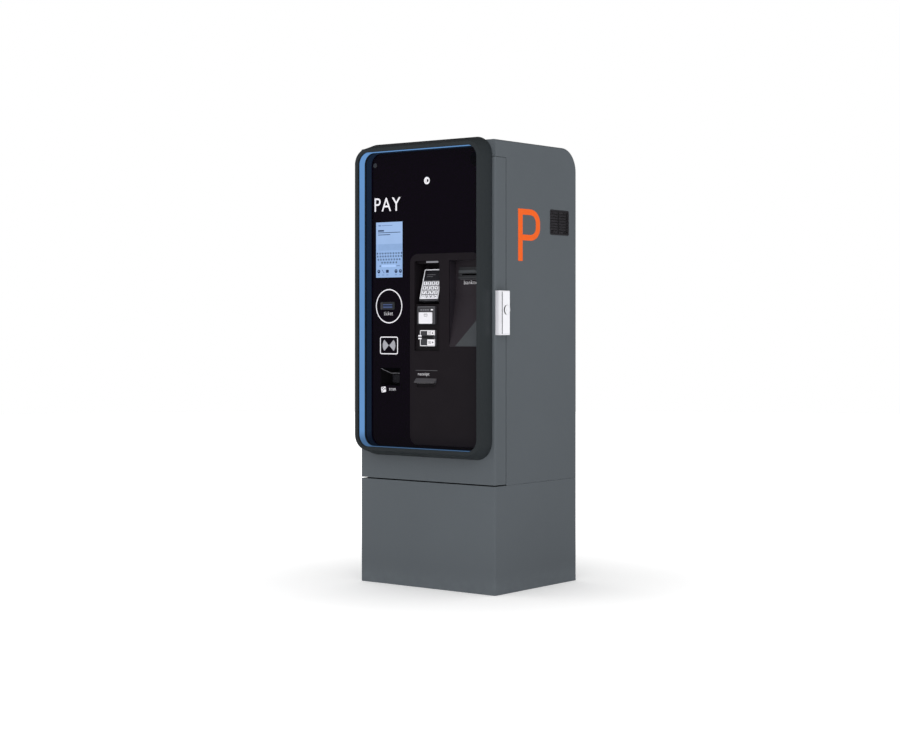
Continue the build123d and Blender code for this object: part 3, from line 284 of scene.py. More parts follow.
def printed(name, colour, roughness=0.55):
    """Screen-printed ink or cut vinyl: even colour with a faint uneven edge and pinholes."""
    mix = Finish(name, Specular_IOR_Level=0.25)
    holes = mix.step(mix.noise(700.0, 2.0), 0.68, 0.78)
    shade = mix.blend(mix.noise(30.0, 2.0), lighter(colour, 0.94), lighter(colour, 1.05))
    mix.colour(mix.blend(holes * 0.3, shade, lighter(colour, 0.7)))
    mix.rough(mix.noise(90.0, 2.0) * 0.12 + (roughness - 0.06))
    mix.bump(holes, 0.00003, 0.3)


def backlit(name, colour, strength=1.0, uneven=0.06, scale=8.0, dim_below=0.0):
    """A lit surface: its glow varies a little, as over lamps behind a diffuser."""
    mix = Finish(name, Roughness=0.5, Specular_IOR_Level=0.2, Emission_Strength=strength)
    mix.colour(mix.blend(mix.noise(scale, 1.0), lighter(colour, 0.12), lighter(colour, 0.16)))
    glow = mix.blend(mix.noise(scale, 2.0), lighter(colour, 1 - uneven), lighter(colour, 1 + uneven))
    if dim_below:
        low = 1.0 - mix.step(mix.axis("Z"), dim_below - 0.02, dim_below + 0.03)
        glow = mix.blend(low * 0.75, glow, lighter(colour, 0.3))
    mix.feed(mix.shader.inputs["Emission Color"], glow)


def smoked_glass(name, colour):
    """Toughened glass, printed black behind: deep, smooth and very slightly wavy."""
    mix = Finish(name, Specular_IOR_Level=0.6)
    mix.colour(mix.blend(mix.noise(3.0, 2.0), lighter(colour, 0.9), lighter(colour, 1.1)))
    smear = mix.step(mix.noise(11.0, 4.0), 0.52, 0.75)
    mix.rough(smear * 0.08 + 0.06)
    mix.bump(mix.noise(5.0, 1.0), 0.0002, 0.1)


def rubber(name, colour):
    """Cellular sealing rubber."""
    mix = Finish(name, Roughness=0.85, Specular_IOR_Level=0.2)
    pores = mix.cells(1400.0)
    mix.colour(mix.blend(pores, lighter(colour, 0.75), lighter(colour, 1.25)))
    mix.bump(pores, 0.00012, 0.6)


def paper_stock(name, colour):
    """Thermal paper wound on a roll: fine layers across its width."""
    mix = Finish(name, Roughness=0.75, Specular_IOR_Level=0.2)
    layers = mix.noise(500.0, 2.0, (0.05, 1, 1))
    mix.colour(mix.blend(layers, lighter(colour, 0.85), lighter(colour, 1.03)))
    mix.bump(layers, 0.00008, 0.5)


def dotted_print(name, colour, pitch=0.0034):
    """Pale print with a regular pattern of fine grey dots."""
    mix = Finish(name, Specular_IOR_Level=0.3)
    wave = (mix.math("SINE", mix.axis("X") * (2 * math.pi / pitch))
            * mix.math("SINE", mix.axis("Z") * (2 * math.pi / pitch)))
    dots = mix.step(mix.math("ABSOLUTE", wave), 0.72, 0.9)
    ground = mix.blend(mix.noise(40.0), lighter(colour, 0.95), colour)
    mix.colour(mix.blend(dots * 0.45, ground, lighter(colour, 0.45)))
    mix.rough(mix.noise(60.0) * 0.1 + 0.42)
    mix.bump(dots, 0.00003, 0.4)


def key_bed(name, face, side, depth=0.0012):
    """The keypad's housing: satin metal on its sloping face, dark moulding round its sides."""
    mix = Finish(name, Specular_IOR_Level=0.4)
    out = PIN_FACE.matrix.to_3x3() @ Vector((0, 0, 1))
    origin = PIN_FACE.matrix.translation
    height = mix.node("VectorMath", {"operation": "DOT_PRODUCT"}, {0: mix.point, 1: out}, output="Value")
    on_face = mix.step(height - out.dot(origin), -depth, -depth + 0.0003)
    grain = mix.noise(260.0, 2.0, (0.2, 1, 1))
    bright = mix.blend(grain, lighter(face, 0.9), lighter(face, 1.05))
    mix.colour(mix.blend(on_face, side, bright))
    mix.rough(grain * 0.15 + 0.32)
    mix.bump(grain, 0.00004, 0.4)


def camera_finish(name, shell, lens):
    """The camera: a pale ring with a black glass eye, on a dark case."""
    mix = Finish(name, Specular_IOR_Level=0.5)
    at_x, _, at_z = middle("camera_unit")
    east = mix.axis("X") - at_x * MM
    up = mix.axis("Z") - at_z * MM
    reach = mix.math("SQRT", east * east + up * up)
    off = east - 0.0035
    eye = mix.step(mix.math("SQRT", off * off + up * up), 0.0062, 0.0068)
    ring = eye * (1.0 - mix.step(reach, 0.0138, 0.0144)) * (1.0 - mix.step(mix.axis("Y"), -0.2845, -0.2842))
    mix.colour(mix.blend(ring, lens, mix.blend(mix.noise(80.0), lighter(shell, 0.93), shell)))
    mix.rough(ring * 0.25 + mix.noise(50.0) * 0.06 + 0.08)
    mix.bump(mix.noise(800.0, 2.0), 0.00003, 0.3)


FINISHES = {
    "cabinet_coat": lambda s, n: powder_coat(n, tuple(s.colours.cabinet)),
    "plinth_coat": lambda s, n: powder_coat(n, lighter(tuple(s.colours.cabinet), 1.02), dusty=True),
    "bezel_coat": lambda s, n: powder_coat(n, tuple(s.colours.bezel), roughness=0.44),
    "panel_plastic": lambda s, n: moulded(n, tuple(s.colours.panel), specular=0.1),
    "pocket_plastic": lambda s, n: moulded(n, lighter(tuple(s.colours.panel), 0.9), specular=0.2),
    "ramp_plastic": lambda s, n: moulded(n, lighter(tuple(s.colours.panel), 2.1)),
    # Painted light on the banknote ramp's lit triangle; also the colour of the banknote slot's lip face.
    "facet_plastic": lambda s, n: moulded(n, tint(66, 69, 72)),
    # Painted light: the receipt hood's plastic is made much lighter than the panel's, standing for its
    # up-facing top catching the light.
    "hood_plastic": lambda s, n: moulded(n, tint(76, 74, 77)),
    "reader_plastic": lambda s, n: moulded(n, tint(64, 64, 68, 0.9), 0.4),
    "module_plastic": lambda s, n: moulded(n, tint(54, 55, 58), 0.55),
    "cassette_plastic": lambda s, n: moulded(n, tint(96, 98, 100), 0.5),
    "battery_case": lambda s, n: moulded(n, tint(38, 40, 44), 0.45),
    "dark_recess": lambda s, n: moulded(n, tint(9, 8, 11), 0.6, specular=0.1),
    "ticket_metal": lambda s, n: brushed(n, tint(70, 71, 75), 0.5, (1, 30, 30), 0.6),
    "zinc_steel": lambda s, n: galvanised(n, tint(178, 182, 186)),
    "hinge_steel": lambda s, n: brushed(n, tint(104, 109, 113), 0.42, (30, 30, 1)),
    "bright_steel": lambda s, n: brushed(n, tint(200, 202, 206), 0.3, (30, 30, 1), 0.5),
    "white_lacquer": lambda s, n: lacquered(n, tuple(s.colours.lock)),
    # A grey copy of the lock's white lacquer: painted shade on the lock's front strip, and the colour of its
    # cap lip.
    "grey_lacquer": lambda s, n: lacquered(n, tint(212, 212, 218)),
    "smoked_glass": lambda s, n: smoked_glass(n, tint(5, 1, 9)),
    "seal_rubber": lambda s, n: rubber(n, tint(26, 26, 28)),
    "vent_black": lambda s, n: moulded(n, tint(44, 42, 46), 0.55),
    "filter_mat": lambda s, n: rubber(n, tint(58, 56, 60)),
    "roll_paper": lambda s, n: paper_stock(n, tint(236, 235, 230)),
    "key_metal": lambda s, n: lacquered(n, tint(236, 236, 242), 0.36),
    "key_bed": lambda s, n: key_bed(n, tint(136, 136, 142), tint(40, 40, 44)),
    "camera_shell": lambda s, n: camera_finish(n, tint(238, 236, 240), tint(10, 9, 14)),
    "white_ink": lambda s, n: printed(n, tuple(s.prints.ink)),
    "zone_print": lambda s, n: dotted_print(n, tint(228, 227, 232)),
    "grey_ink": lambda s, n: printed(n, tint(158, 158, 164)),
    "line_ink": lambda s, n: printed(n, tint(92, 92, 96)),
    "dark_ink": lambda s, n: printed(n, tint(34, 34, 40)),
    "orange_vinyl": lambda s, n: printed(n, tuple(s.prints.sign)),
    "strip_light": lambda s, n: backlit(n, tuple(s.lights.strip), s.lights.strip_strength,
                                     dim_below=0.57),
    "pocket_light": lambda s, n: backlit(n, tint(150, 150, 156), 0.75),
    "slot_light": lambda s, n: backlit(n, tint(70, 84, 122), 0.9, 0.2, 60.0),
    "screen_upper": lambda s, n: backlit(n, tuple(s.screen.page), 1.0, 0.03, 14.0),
    "screen_lower": lambda s, n: backlit(n, tuple(s.screen.keys), 1.0, 0.04, 22.0),
    "screen_band": lambda s, n: backlit(n, lighter(tuple(s.screen.keys), 0.9), 1.0, 0.06, 60.0),
    "screen_bar": lambda s, n: backlit(n, lighter(tuple(s.screen.page), 1.2), 1.0),
    "screen_ink": lambda s, n: backlit(n, tuple(s.screen.ink), 1.0, 0.1, 90.0),
    "screen_soft_ink": lambda s, n: backlit(n, tint(96, 118, 160), 1.0, 0.1, 90.0),
    "window_black": lambda s, n: smoked_glass(n, tint(30, 30, 34)),
    "board_green": lambda s, n: moulded(n, tint(30, 78, 54), 0.45),
    "terminal_grey": lambda s, n: moulded(n, tint(132, 136, 138), 0.5),
    "terminal_red": lambda s, n: moulded(n, tint(160, 34, 30), 0.45),
    "handle_blue": lambda s, n: moulded(n, tint(34, 78, 134), 0.45),
}


def finish(name):
    """The material of a finish, mixed the first time it is asked for."""
    look = name + "_look"
    if look not in bpy.data.materials:
        FINISHES[name](bpy.context.scene.ticket_machine, name)
    return bpy.data.materials[look]


def coat(node, name):
    """Give a CAD node its finish."""
    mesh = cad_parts[node].data
    if not mesh.materials:
        mesh.materials.append(finish(name))
    for i in range(len(mesh.materials)):
        mesh.materials[i] = finish(name)


# ---------------------------------------------------------------- modelling

def only(*pieces):
    """Select just these pieces; the last is active."""
    bpy.ops.object.select_all(action="DESELECT")
    for piece in pieces:
        piece.select_set(True)
    bpy.context.view_layer.objects.active = pieces[-1]


def edit(piece, kind="FACE", start="DESELECT"):
    """Go into edit mode on one piece, with nothing selected or with everything."""
    only(piece)
    bpy.ops.object.mode_set(mode="EDIT")
    bpy.ops.mesh.select_mode(type=kind)
    bpy.ops.mesh.select_all(action=start)


def leave():
    bpy.ops.object.mode_set(mode="OBJECT")


def pick(piece, kind, test):
    """In edit mode, select the parts of the mesh whose middle, in millimetres, passes a test."""
    mesh = bmesh.from_edit_mesh(piece.data)
    for item in getattr(mesh, kind):
        if kind == "verts":
            centre = item.co
        else:
            centre = sum((v.co for v in item.verts), Vector()) / len(item.verts)
        item.select_set(test(centre / MM))
    mesh.select_flush_mode()
    bmesh.update_edit_mesh(piece.data)


def modify(piece, kind, **settings):
    """Add a modifier with its settings and apply it."""
    only(piece)
    bpy.ops.object.modifier_add(type=kind)
    modifier = piece.modifiers[-1]
    for key, value in settings.items():
        setattr(modifier, key, value)
    bpy.ops.object.modifier_apply(modifier=modifier.name)


def soften(piece, edge, segments=2):
    """Round the sharp edges."""
    if edge > 0:
        modify(piece, "BEVEL", width=edge * MM, segments=segments, limit_method="ANGLE",
               angle_limit=math.radians(40))
        only(piece)
        bpy.ops.object.shade_smooth_by_angle(angle=math.radians(35))


def name_piece(piece, name):
    piece.name = name
    piece.data.name = name
    return piece


def card(name, x, y, r=0.0, corners=None):
    """A flat rounded rectangle in the origin's plane, between two values each way."""
    bpy.ops.object.select_all(action="DESELECT")
    bpy.ops.mesh.primitive_plane_add(size=1, location=((x[0] + x[1]) / 2 * MM, (y[0] + y[1]) / 2 * MM, 0))
    piece = name_piece(bpy.context.object, name)
    piece.scale = ((x[1] - x[0]) * MM, (y[1] - y[0]) * MM, 1)
    bpy.ops.object.transform_apply(location=True, rotation=True, scale=True)
    if r > 0:
        edit(piece, "VERT")
        pick(piece, "verts", corners or (lambda c: True))
        bpy.ops.mesh.bevel(offset=r * MM, segments=max(3, min(12, int(r))), affect="VERTICES")
        leave()
    return piece


def thicken(piece, t, edge=0.0, segments=2):
    """Give a flat piece its thickness, out of its plane."""
    modify(piece, "SOLIDIFY", thickness=t * MM, offset=1.0)
    soften(piece, edge, segments)
    return piece


def plate(face, name, x, y, t, r=0.0, edge=0.0, lift=0.0, corners=None):
    """A rounded plate on a face."""
    return face.settle(thicken(card(name, x, y, r, corners), t, edge), lift)


def hollow(piece, band):
    """Open the middle of a flat piece, leaving a band round it."""
    edit(piece, start="SELECT")
    bpy.ops.mesh.inset(thickness=band * MM)
    bpy.ops.mesh.delete(type="FACE")
    leave()
    return piece


def outline(face, name, x, y, band, t, r=0.0, edge=0.0, lift=0.0):
    """A rounded frame line on a face."""
    return face.settle(thicken(hollow(card(name, x, y, r), band), t, edge), lift)


def disc_card(name, x, y, r, sides=40):
    """A flat disc in the origin's plane."""
    bpy.ops.object.select_all(action="DESELECT")
    bpy.ops.mesh.primitive_circle_add(vertices=sides, radius=r * MM, fill_type="NGON",
                                      location=(x * MM, y * MM, 0))
    piece = name_piece(bpy.context.object, name)
    bpy.ops.object.transform_apply(location=True, rotation=True, scale=True)
    return piece


def disc(face, name, x, y, r, t, edge=0.0, lift=0.0, sides=40):
    """A round plate on a face."""
    return face.settle(thicken(disc_card(name, x, y, r, sides), t, edge), lift)


def ring(face, name, x, y, r, band, t, edge=0.0, lift=0.0, sides=64):
    """A round line on a face."""
    return face.settle(thicken(hollow(disc_card(name, x, y, r, sides), band), t, edge), lift)


def wedge(face, name, x, y, r, turn, half_angle, t, lift=0.0):
    """A fan: a disc cut back to the part about one direction."""
    piece = disc_card(name, x, y, r, 48)
    edit(piece)
    for side in (-1, 1):
        angle = math.radians(turn) + side * math.radians(half_angle)
        normal = (-side * math.sin(angle), side * math.cos(angle), 0)
        bpy.ops.mesh.select_all(action="SELECT")
        bpy.ops.mesh.bisect(plane_co=(x * MM, y * MM, 0), plane_no=normal, clear_outer=True)
    leave()
    return face.settle(thicken(piece, t), lift)


def lettering(face, name, words, x, y, t=0.25, weight=0.0, lift=0.0):
    """Words as a thin raised print that fills the given width and height on a face."""
    bpy.ops.object.select_all(action="DESELECT")
    bpy.ops.object.text_add(location=(0, 0, 0))
    piece = bpy.context.object
    piece.data.body = words
    piece.data.offset = weight
    piece.data.space_character = 1.12
    piece.data.resolution_u = 4
    bpy.ops.object.convert(target="MESH")
    piece = name_piece(bpy.context.object, name)
    edit(piece, start="SELECT")
    bpy.ops.mesh.remove_doubles(threshold=0.0005)
    bpy.ops.mesh.dissolve_limited(angle_limit=math.radians(1))
    leave()
    corners = [v.co for v in piece.data.vertices]
    low = [min(c[i] for c in corners) for i in (0, 1)]
    high = [max(c[i] for c in corners) for i in (0, 1)]
    scale = [(span[1] - span[0]) * MM / (high[i] - low[i]) for i, span in enumerate((x, y))]
    piece.scale = (scale[0], scale[1], 1)
    piece.location = (x[0] * MM - low[0] * scale[0], y[0] * MM - low[1] * scale[1], 0)
    bpy.ops.object.transform_apply(location=True, rotation=True, scale=True)
    return face.settle(thicken(piece, t), lift)


def join(name, pieces):
    """Several pieces of one material as one piece."""
    only(*pieces)
    bpy.ops.object.join()
    return name_piece(bpy.context.object, name)


def combine(piece, other, operation):
    """Weld a second body to a piece or cut it away, and drop it."""
    modify(piece, "BOOLEAN", operation=operation, object=other)
    bpy.data.objects.remove(other)
    return piece


def fit(piece, body, material, slot, *stands_for):
    """Finish a piece, ride it on its body and hide the CAD nodes it stands for; its slot is not used."""
    piece.data.materials.clear()
    piece.data.materials.append(finish(material))
    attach(piece, body)
    if stands_for:
        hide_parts(*stands_for)
    return piece


def studs(face, name, places, r, t, edge=0.4, sides=16, socket=0.0):
    """Like round heads at several places, each with a driver socket, as one piece."""
    heads = []
    for x, y in places:
        head = disc_card(name, x, y, r, sides)
        if socket > 0:
            edit(head, start="SELECT")
            bpy.ops.mesh.inset(thickness=(r - socket) * MM)
            leave()
        thicken(head, t, edge)
        if socket > 0:
            edit(head)
            pick(head, "faces",
                 lambda c, x=x, y=y: abs(c.x - x) < 0.1 and abs(c.y - y) < 0.1 and c.z > t * 0.9)
            bpy.ops.mesh.extrude_region_move(TRANSFORM_OT_translate={"value": (0, 0, -t * 0.6 * MM)})
            leave()
        heads.append(head)
    return face.settle(join(name, heads))


# ---------------------------------------------------------------- sizes and colours to change

def colour_setting(name, description, default):
    """A colour that the panel shows."""
    return bpy.props.FloatVectorProperty(
        name=name, description=description, default=default, size=4, min=0, max=1, subtype="COLOR")


class MachineColours(bpy.types.PropertyGroup):
    cabinet: colour_setting("Cabinet", "Powder coat of the cabinet, door and plinth", tint(86, 92, 97))
    bezel: colour_setting("Bezel", "Powder coat of the deep bezel", tint(42, 47, 50))
    panel: colour_setting("Module panel", "Plastic of the panel round the payment modules", tint(30, 26, 30))
    lock: colour_setting("Lock", "Lacquer of the side lock", tint(236, 236, 241))


class MachinePrints(bpy.types.PropertyGroup):
    ink: colour_setting("Ink", "Ink of the words and outlines on the glass", tint(232, 230, 234))
    sign: colour_setting("Side sign", "Vinyl of the parking letter on the right side", tint(232, 93, 14))
    thickness: bpy.props.FloatProperty(
        name="Thickness", description="How far a print stands out of its face, in millimetres",
        default=0.25, min=0.05, max=1.0)


class MachineLights(bpy.types.PropertyGroup):
    strip: colour_setting("Strip", "Light of the strip inside the bezel", tint(98, 143, 194))
    strip_strength: bpy.props.FloatProperty(
        name="Strip strength", description="Brightness of the strip", default=1.0, min=0, max=10)


class MachineScreen(bpy.types.PropertyGroup):
    page: colour_setting("Page", "Light of the display's upper half", tint(148, 176, 217))
    keys: colour_setting("Keyboard", "Light of the display's lower half", tint(139, 169, 212))
    ink: colour_setting("Marks", "Dark marks on the display", tint(34, 48, 78))


class MachineStudio(bpy.types.PropertyGroup):
    eye: bpy.props.FloatVectorProperty(
        name="Camera place", description="Where the camera stands",
        default=(4.3336, -5.6350, 1.0048), size=3, subtype="TRANSLATION", unit="LENGTH")
    turn: bpy.props.FloatProperty(
        name="Camera turn", description="Turn of the camera about the vertical",
        default=math.radians(38.16), subtype="ANGLE", unit="ROTATION")
    lens: bpy.props.FloatProperty(
        name="Lens", description="Focal length on a 36 mm film, in millimetres", default=72.03, min=10)
    rise: bpy.props.FloatProperty(
        name="Rise", description="Vertical shift of the lens, in widths of the film", default=-0.0581)
    ambient: bpy.props.FloatProperty(
        name="Ambient", description="Soft light from all round", default=0.88, min=0)


class MachineSettings(bpy.types.PropertyGroup):
    colours: bpy.props.PointerProperty(type=MachineColours, name="Colours", description="Paints and plastics")
    prints: bpy.props.PointerProperty(type=MachinePrints, name="Prints", description="Inks and vinyl")
    lights: bpy.props.PointerProperty(type=MachineLights, name="Lights", description="Lamps in the machine")
    screen: bpy.props.PointerProperty(type=MachineScreen, name="Screen", description="The display's picture")
    studio: bpy.props.PointerProperty(type=MachineStudio, name="Studio", description="Camera and lights")


# ---------------------------------------------------------------- the machine's pieces

NODE_FINISHES = {
    "cabinet_coat": ("rear_body", "door_shell"),
    "plinth_coat": ("plinth",),
    "zinc_steel": ("anchor_plate", "body_floor", "mounting_plate", "module_rails"),
    "hinge_steel": ("hinge_fixed", "hinge_moving"),
    "bright_steel": ("hinge_pins", "fixing_screws", "latch_rod_upper", "latch_rod_lower"),
    "seal_rubber": ("door_seal",),
    "bezel_coat": ("bezel_frame",),
    "strip_light": ("light_strip",),
    "smoked_glass": ("front_glass",),
    "panel_plastic": ("module_panel",),
    "hood_plastic": ("receipt_hood",),
    "pocket_plastic": ("pos_pocket",),
    "ramp_plastic": ("note_pocket",),
    "reader_plastic": ("contactless_reader", "chip_reader"),
    "ticket_metal": ("ticket_bezel",),
    "dark_recess": ("scan_hood", "barcode_scanner"),
    "module_plastic": ("display_module", "ticket_unit", "proximity_reader", "note_acceptor", "note_bezel",
                       "receipt_printer", "controller_unit"),
    "cassette_plastic": ("note_cassette",),
    "camera_shell": ("camera_unit",),
    "key_bed": ("pinpad_housing",),
    "white_lacquer": ("lock_housing", "lock_rotor"),
    "vent_black": ("vent_grille", "fan_housing", "fan_rotor"),
    "battery_case": ("backup_battery",),
    "roll_paper": ("paper_roll",),
}


class MACHINE_OT_cabinet_finish(bpy.types.Operator):
    """Give every CAD node its finish"""
    bl_idname = "ticket_machine.cabinet_finish"
    bl_label = "Finish the frame"

    def execute(self, context):
        for name, nodes in NODE_FINISHES.items():
            for node in nodes:
                coat(node, name)
        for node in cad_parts:
            if node.startswith("key_"):
                coat(node, "key_metal")
        coat("power_supply", "zinc_steel")
        return {"FINISHED"}


def rounded_steps(piece, start, steps):
    """Extrude a rounded outline through more outlines, each (width, height, corner radius, depth)."""
    now = start
    mesh_middle = (GLASS_Z[0] + GLASS_Z[1]) / 2
    for step in steps:
        bpy.ops.mesh.extrude_edges_move()
        mesh = bmesh.from_edit_mesh(piece.data)
        for vertex in [v for v in mesh.verts if v.select]:
            place = vertex.co / MM
            place.y -= mesh_middle
            side = Vector((math.copysign(1, place.x), math.copysign(1, place.y)))
            old = Vector((side.x * (now[0] / 2 - now[2]), side.y * (now[1] / 2 - now[2])))
            new = Vector((side.x * (step[0] / 2 - step[2]), side.y * (step[1] / 2 - step[2])))
            arm = (Vector((place.x, place.y)) - old) / now[2]
            spot = new + arm * step[2]
            vertex.co = Vector((spot.x, spot.y + mesh_middle, step[3])) * MM
        bmesh.update_edit_mesh(piece.data)
        now = step


class MACHINE_OT_bezel(bpy.types.Operator):
    """Make the deep bezel with its light groove and softened rim"""
    bl_idname = "ticket_machine.bezel"
    bl_label = "Bezel"

    def execute(self, context):
        low, high = extent("bezel_frame")
        rim = RIM_Y - DOOR_Y
        strip_low, strip_high = extent("light_strip")
        wide, tall = high[0] - low[0], high[2] - low[2]
        inner_w, inner_h, inner_r = 581.0, 1143.0, 46.0
        centre = (GLASS_Z[0] + GLASS_Z[1]) / 2
        front = DOOR_Y
        corner = 72.0
        start = (wide, tall, corner, 0.0)
        piece = card("bezel_shell", (-wide / 2, wide / 2), (centre - tall / 2, centre + tall / 2))
        edit(piece, "VERT", "SELECT")
        bpy.ops.mesh.bevel(offset=corner * MM, segments=20, affect="VERTICES")
        bpy.ops.mesh.select_mode(type="FACE")
        bpy.ops.mesh.select_all(action="SELECT")
        bpy.ops.mesh.delete(type="ONLY_FACE")
        bpy.ops.mesh.select_mode(type="EDGE")
        bpy.ops.mesh.select_all(action="SELECT")
        groove = 3.0
        groove_front, groove_back = front - (strip_low[1] - 0.2), front - (strip_high[1] + 0.2)
        ledge = front - (GLASS_Y + 6)
        rounded_steps(piece, start, (
            (611.5, 1171.0, 60.0, -rim),
            (inner_w, inner_h, inner_r, -rim),
            (inner_w, inner_h, inner_r, groove_front),
            (inner_w + 2 * groove, inner_h + 2 * groove, inner_r + groove, groove_front),
            (inner_w + 2 * groove, inner_h + 2 * groove, inner_r + groove, groove_back),
            (inner_w, inner_h, inner_r, groove_back),
            (inner_w, inner_h, inner_r, ledge),
            (inner_w - 21, inner_h - 21, inner_r - 10.5, ledge),
            (inner_w - 21, inner_h - 21, inner_r - 10.5, 0.0),
        ))
        bpy.ops.mesh.select_all(action="DESELECT")
        mesh = bmesh.from_edit_mesh(piece.data)
        for edge in mesh.edges:
            edge.select_set(edge.is_boundary)
        bmesh.update_edit_mesh(piece.data)
        bpy.ops.mesh.bridge_edge_loops()
        bpy.ops.mesh.select_all(action="SELECT")
        bpy.ops.mesh.normals_make_consistent(inside=False)
        leave()
        soften(piece, 1.4, 3)
        front_face(front).settle(piece)
        fit(piece, "door", "bezel_coat", "bezel_paint", "bezel_frame")
        return {"FINISHED"}


class MACHINE_OT_glass_prints(bpy.types.Operator):
    """Print the words, outlines and symbols on the glass"""
    bl_idname = "ticket_machine.glass_prints"
    bl_label = "Glass prints"

    def execute(self, context):
        t = context.scene.ticket_machine.prints.thickness

        def white(piece):
            fit(piece, "door", "white_ink", "lock_white")

        white(lettering(GLASS, "word_pay", "PAY", (-244, -112.5), (1449.5, 1502), t))
        white(ring(GLASS, "ticket_ring", -170.5, 1080.5, 66.5, 4.2, t, sides=96))
        white(lettering(GLASS, "word_ticket", "ticket", (-196.5, -151.5), (1045.5, 1060.5), t, -0.006))
        white(lettering(GLASS, "word_scan", "scan", (-170, -137), (754, 763), t, -0.006))
        white(outline(GLASS, "proximity_outline", (-216, -125.5), (894, 962.5), 3.8, t, 8))
        fans = [wedge(GLASS, "fan", x, 928.5, 31, turn, 44, t) for x, turn in ((-171.6, 180), (-169.4, 0))]
        fit(join("proximity_waves", fans), "door", "grey_ink", "lock_white")
        tilted = Face((-198, GLASS_Y, 756.8), (1, 0, 0.14), (-0.14, 0, 1))
        white(plate(tilted, "scan_symbol", (-11.8, 11.8), (-10.8, 10.8), t, 4.5))
        cells = [plate(tilted, "cell", (x, x + w), (y, y + h), 0.1, 0.5, lift=t)
                 for x, y, w, h in ((-8.5, 3, 5.5, 5), (-0.5, 5, 3, 4.5), (4.5, -1, 5.5, 6), (-4, -3, 5, 3.5),
                                    (-9.5, -8, 4, 4))]
        fit(join("scan_symbol_cells", cells), "door", "dark_ink", "black_glass")
        fit(disc(GLASS, "presence_sensor", -241, 1630, 9, 0.8, 0.3), "door", "module_plastic", "black_glass")
        fit(disc(GLASS, "speaker", *SPEAKER, 25, 0.8, 0.3), "door", "dark_recess", "black_glass")
        holes = [(SPEAKER[0] + 5.2 * (i + 0.5 * (j % 2)), SPEAKER[1] + 4.5 * j)
                 for i in range(-4, 5) for j in range(-4, 5)]
        holes = [(x, z) for x, z in holes if math.hypot(x - SPEAKER[0], z - SPEAKER[1]) < 20]
        dots = [disc(GLASS, "speaker_hole", x, z, 1.3, 0.15, lift=0.8, sides=10) for x, z in holes]
        fit(join("speaker_grille", dots), "door", "smoked_glass", "black_glass")
        at_x, _, at_z = middle("camera_unit")
        at_x += 3.5
        eye = disc_card("camera_lens", at_x, at_z, 6.6, 32)
        edit(eye, start="SELECT")
        for shrink, rise in ((0.9, 0.5), (0.85, 0.45), (0.75, 0.35)):
            bpy.ops.mesh.extrude_region_move(TRANSFORM_OT_translate={"value": (0, 0, rise * MM)})
            bpy.ops.transform.resize(value=(shrink, shrink, 1), center_override=(at_x * MM, at_z * MM, 0))
        leave()
        only(eye)
        bpy.ops.object.shade_smooth_by_angle(angle=math.radians(50))
        fit(GLASS.settle(eye, -0.9), "door", "smoked_glass", "black_glass")
        return {"FINISHED"}


class MACHINE_OT_screen(bpy.types.Operator):
    """Make the lit display with its plain page, keyboard and row of round icons"""
    bl_idname = "ticket_machine.screen"
    bl_label = "Display"

    def execute(self, context):
        left, right, bottom, top = -236.0, -102.5, 1192.0, 1407.0
        fold = 1322.5
        t = 0.35
        fit(plate(GLASS, "display_page", (left, right), (fold, top), t), "door", "screen_upper",
            "black_glass")
        fit(plate(GLASS, "display_keyboard", (left, right), (bottom, fold), t), "door", "screen_lower",
            "black_glass")
        fit(outline(GLASS, "display_edge", (left - 2.2, right + 2.2), (bottom - 2.2, top + 2.2), 2.2,
                    t + 0.1, 1),
            "door", "dark_recess", "black_glass")
        fit(plate(GLASS, "display_band", (left + 12, right - 3), (1297, fold - 1), 0.1, lift=t), "door",
            "screen_band", "black_glass")
        bars = [(-226, -196, 1374, 5.4), (-226, -113, 1366.5, 2.4), (-226, -164, 1358.2, 2.6)]
        marks = [plate(GLASS, "mark", (a, b), (z - h / 2, z + h / 2), 0.12, lift=t) for a, b, z, h in bars]
        for z, first, count, pitch in ((1285.8, -229.5, 10, 13.6), (1274.2, -227.5, 10, 13.2),
                                       (1261.8, -225.0, 9, 13.6), (1250.1, -205.5, 6, 14.4)):
            for i in range(count):
                x = first + i * pitch
                marks.append(plate(GLASS, "mark", (x - 2.7, x + 2.7), (z - 3.2, z + 3.2), 0.12, 0.8, lift=t))
        marks.append(plate(GLASS, "mark", (-217.5, -213.0), (1234.5, 1239.5), 0.12, 1, lift=t))
        for i, x in enumerate((-222.3, -178.5, -135.0, -112.7)):
            if i == 1:
                marks.append(plate(GLASS, "mark", (x - 6.8, x + 6.8), (1210.5, 1222), 0.12, 2, lift=t))
            else:
                marks.append(disc(GLASS, "mark", x, 1216, 7.2, 0.12, lift=t, sides=24))
        fit(join("display_marks", marks), "door", "screen_ink", "black_glass")
        soft = [plate(GLASS, "soft", (-224, -212), (1391.8, 1396.4), 0.12, 1, lift=t),
                plate(GLASS, "soft", (-208, -153), (1393, 1395), 0.12, lift=t),
                plate(GLASS, "soft", (-132, -116), (1235.5, 1238.5), 0.12, lift=t)]
        for i, x in enumerate((-222.3, -200.4, -178.5, -135.0, -112.7)):
            soft.append(plate(GLASS, "soft", (x - 5, x + 5), (1201, 1203.4), 0.12, lift=t))
        handset = [disc(GLASS, "soft", -204.0, 1220, 2.6, 0.12, lift=t, sides=16),
                   disc(GLASS, "soft", -196.8, 1211.8, 2.6, 0.12, lift=t, sides=16)]
        bar = Face((-200.4, GLASS_Y, 1216), (0.72, 0, -0.7), (0.7, 0, 0.72))
        handset.append(plate(bar, "soft", (-5.5, 5.5), (-1.1, 1.1), 0.12, lift=t))
        fit(join("display_soft_marks", soft + handset), "door", "screen_soft_ink", "black_glass")
        fit(plate(GLASS, "display_space_bar", (-208, -136), (1232.5, 1241.5), 0.1, 3, lift=t), "door",
            "screen_bar", "black_glass")
        windows = [disc(GLASS, "glint", x, 1217.5, 2.2, 0.1, lift=t + 0.12, sides=16)
                   for x in (-222.3, -135.0, -112.7)]
        fit(join("display_icon_centres", windows), "door", "screen_lower", "black_glass")
        return {"FINISHED"}


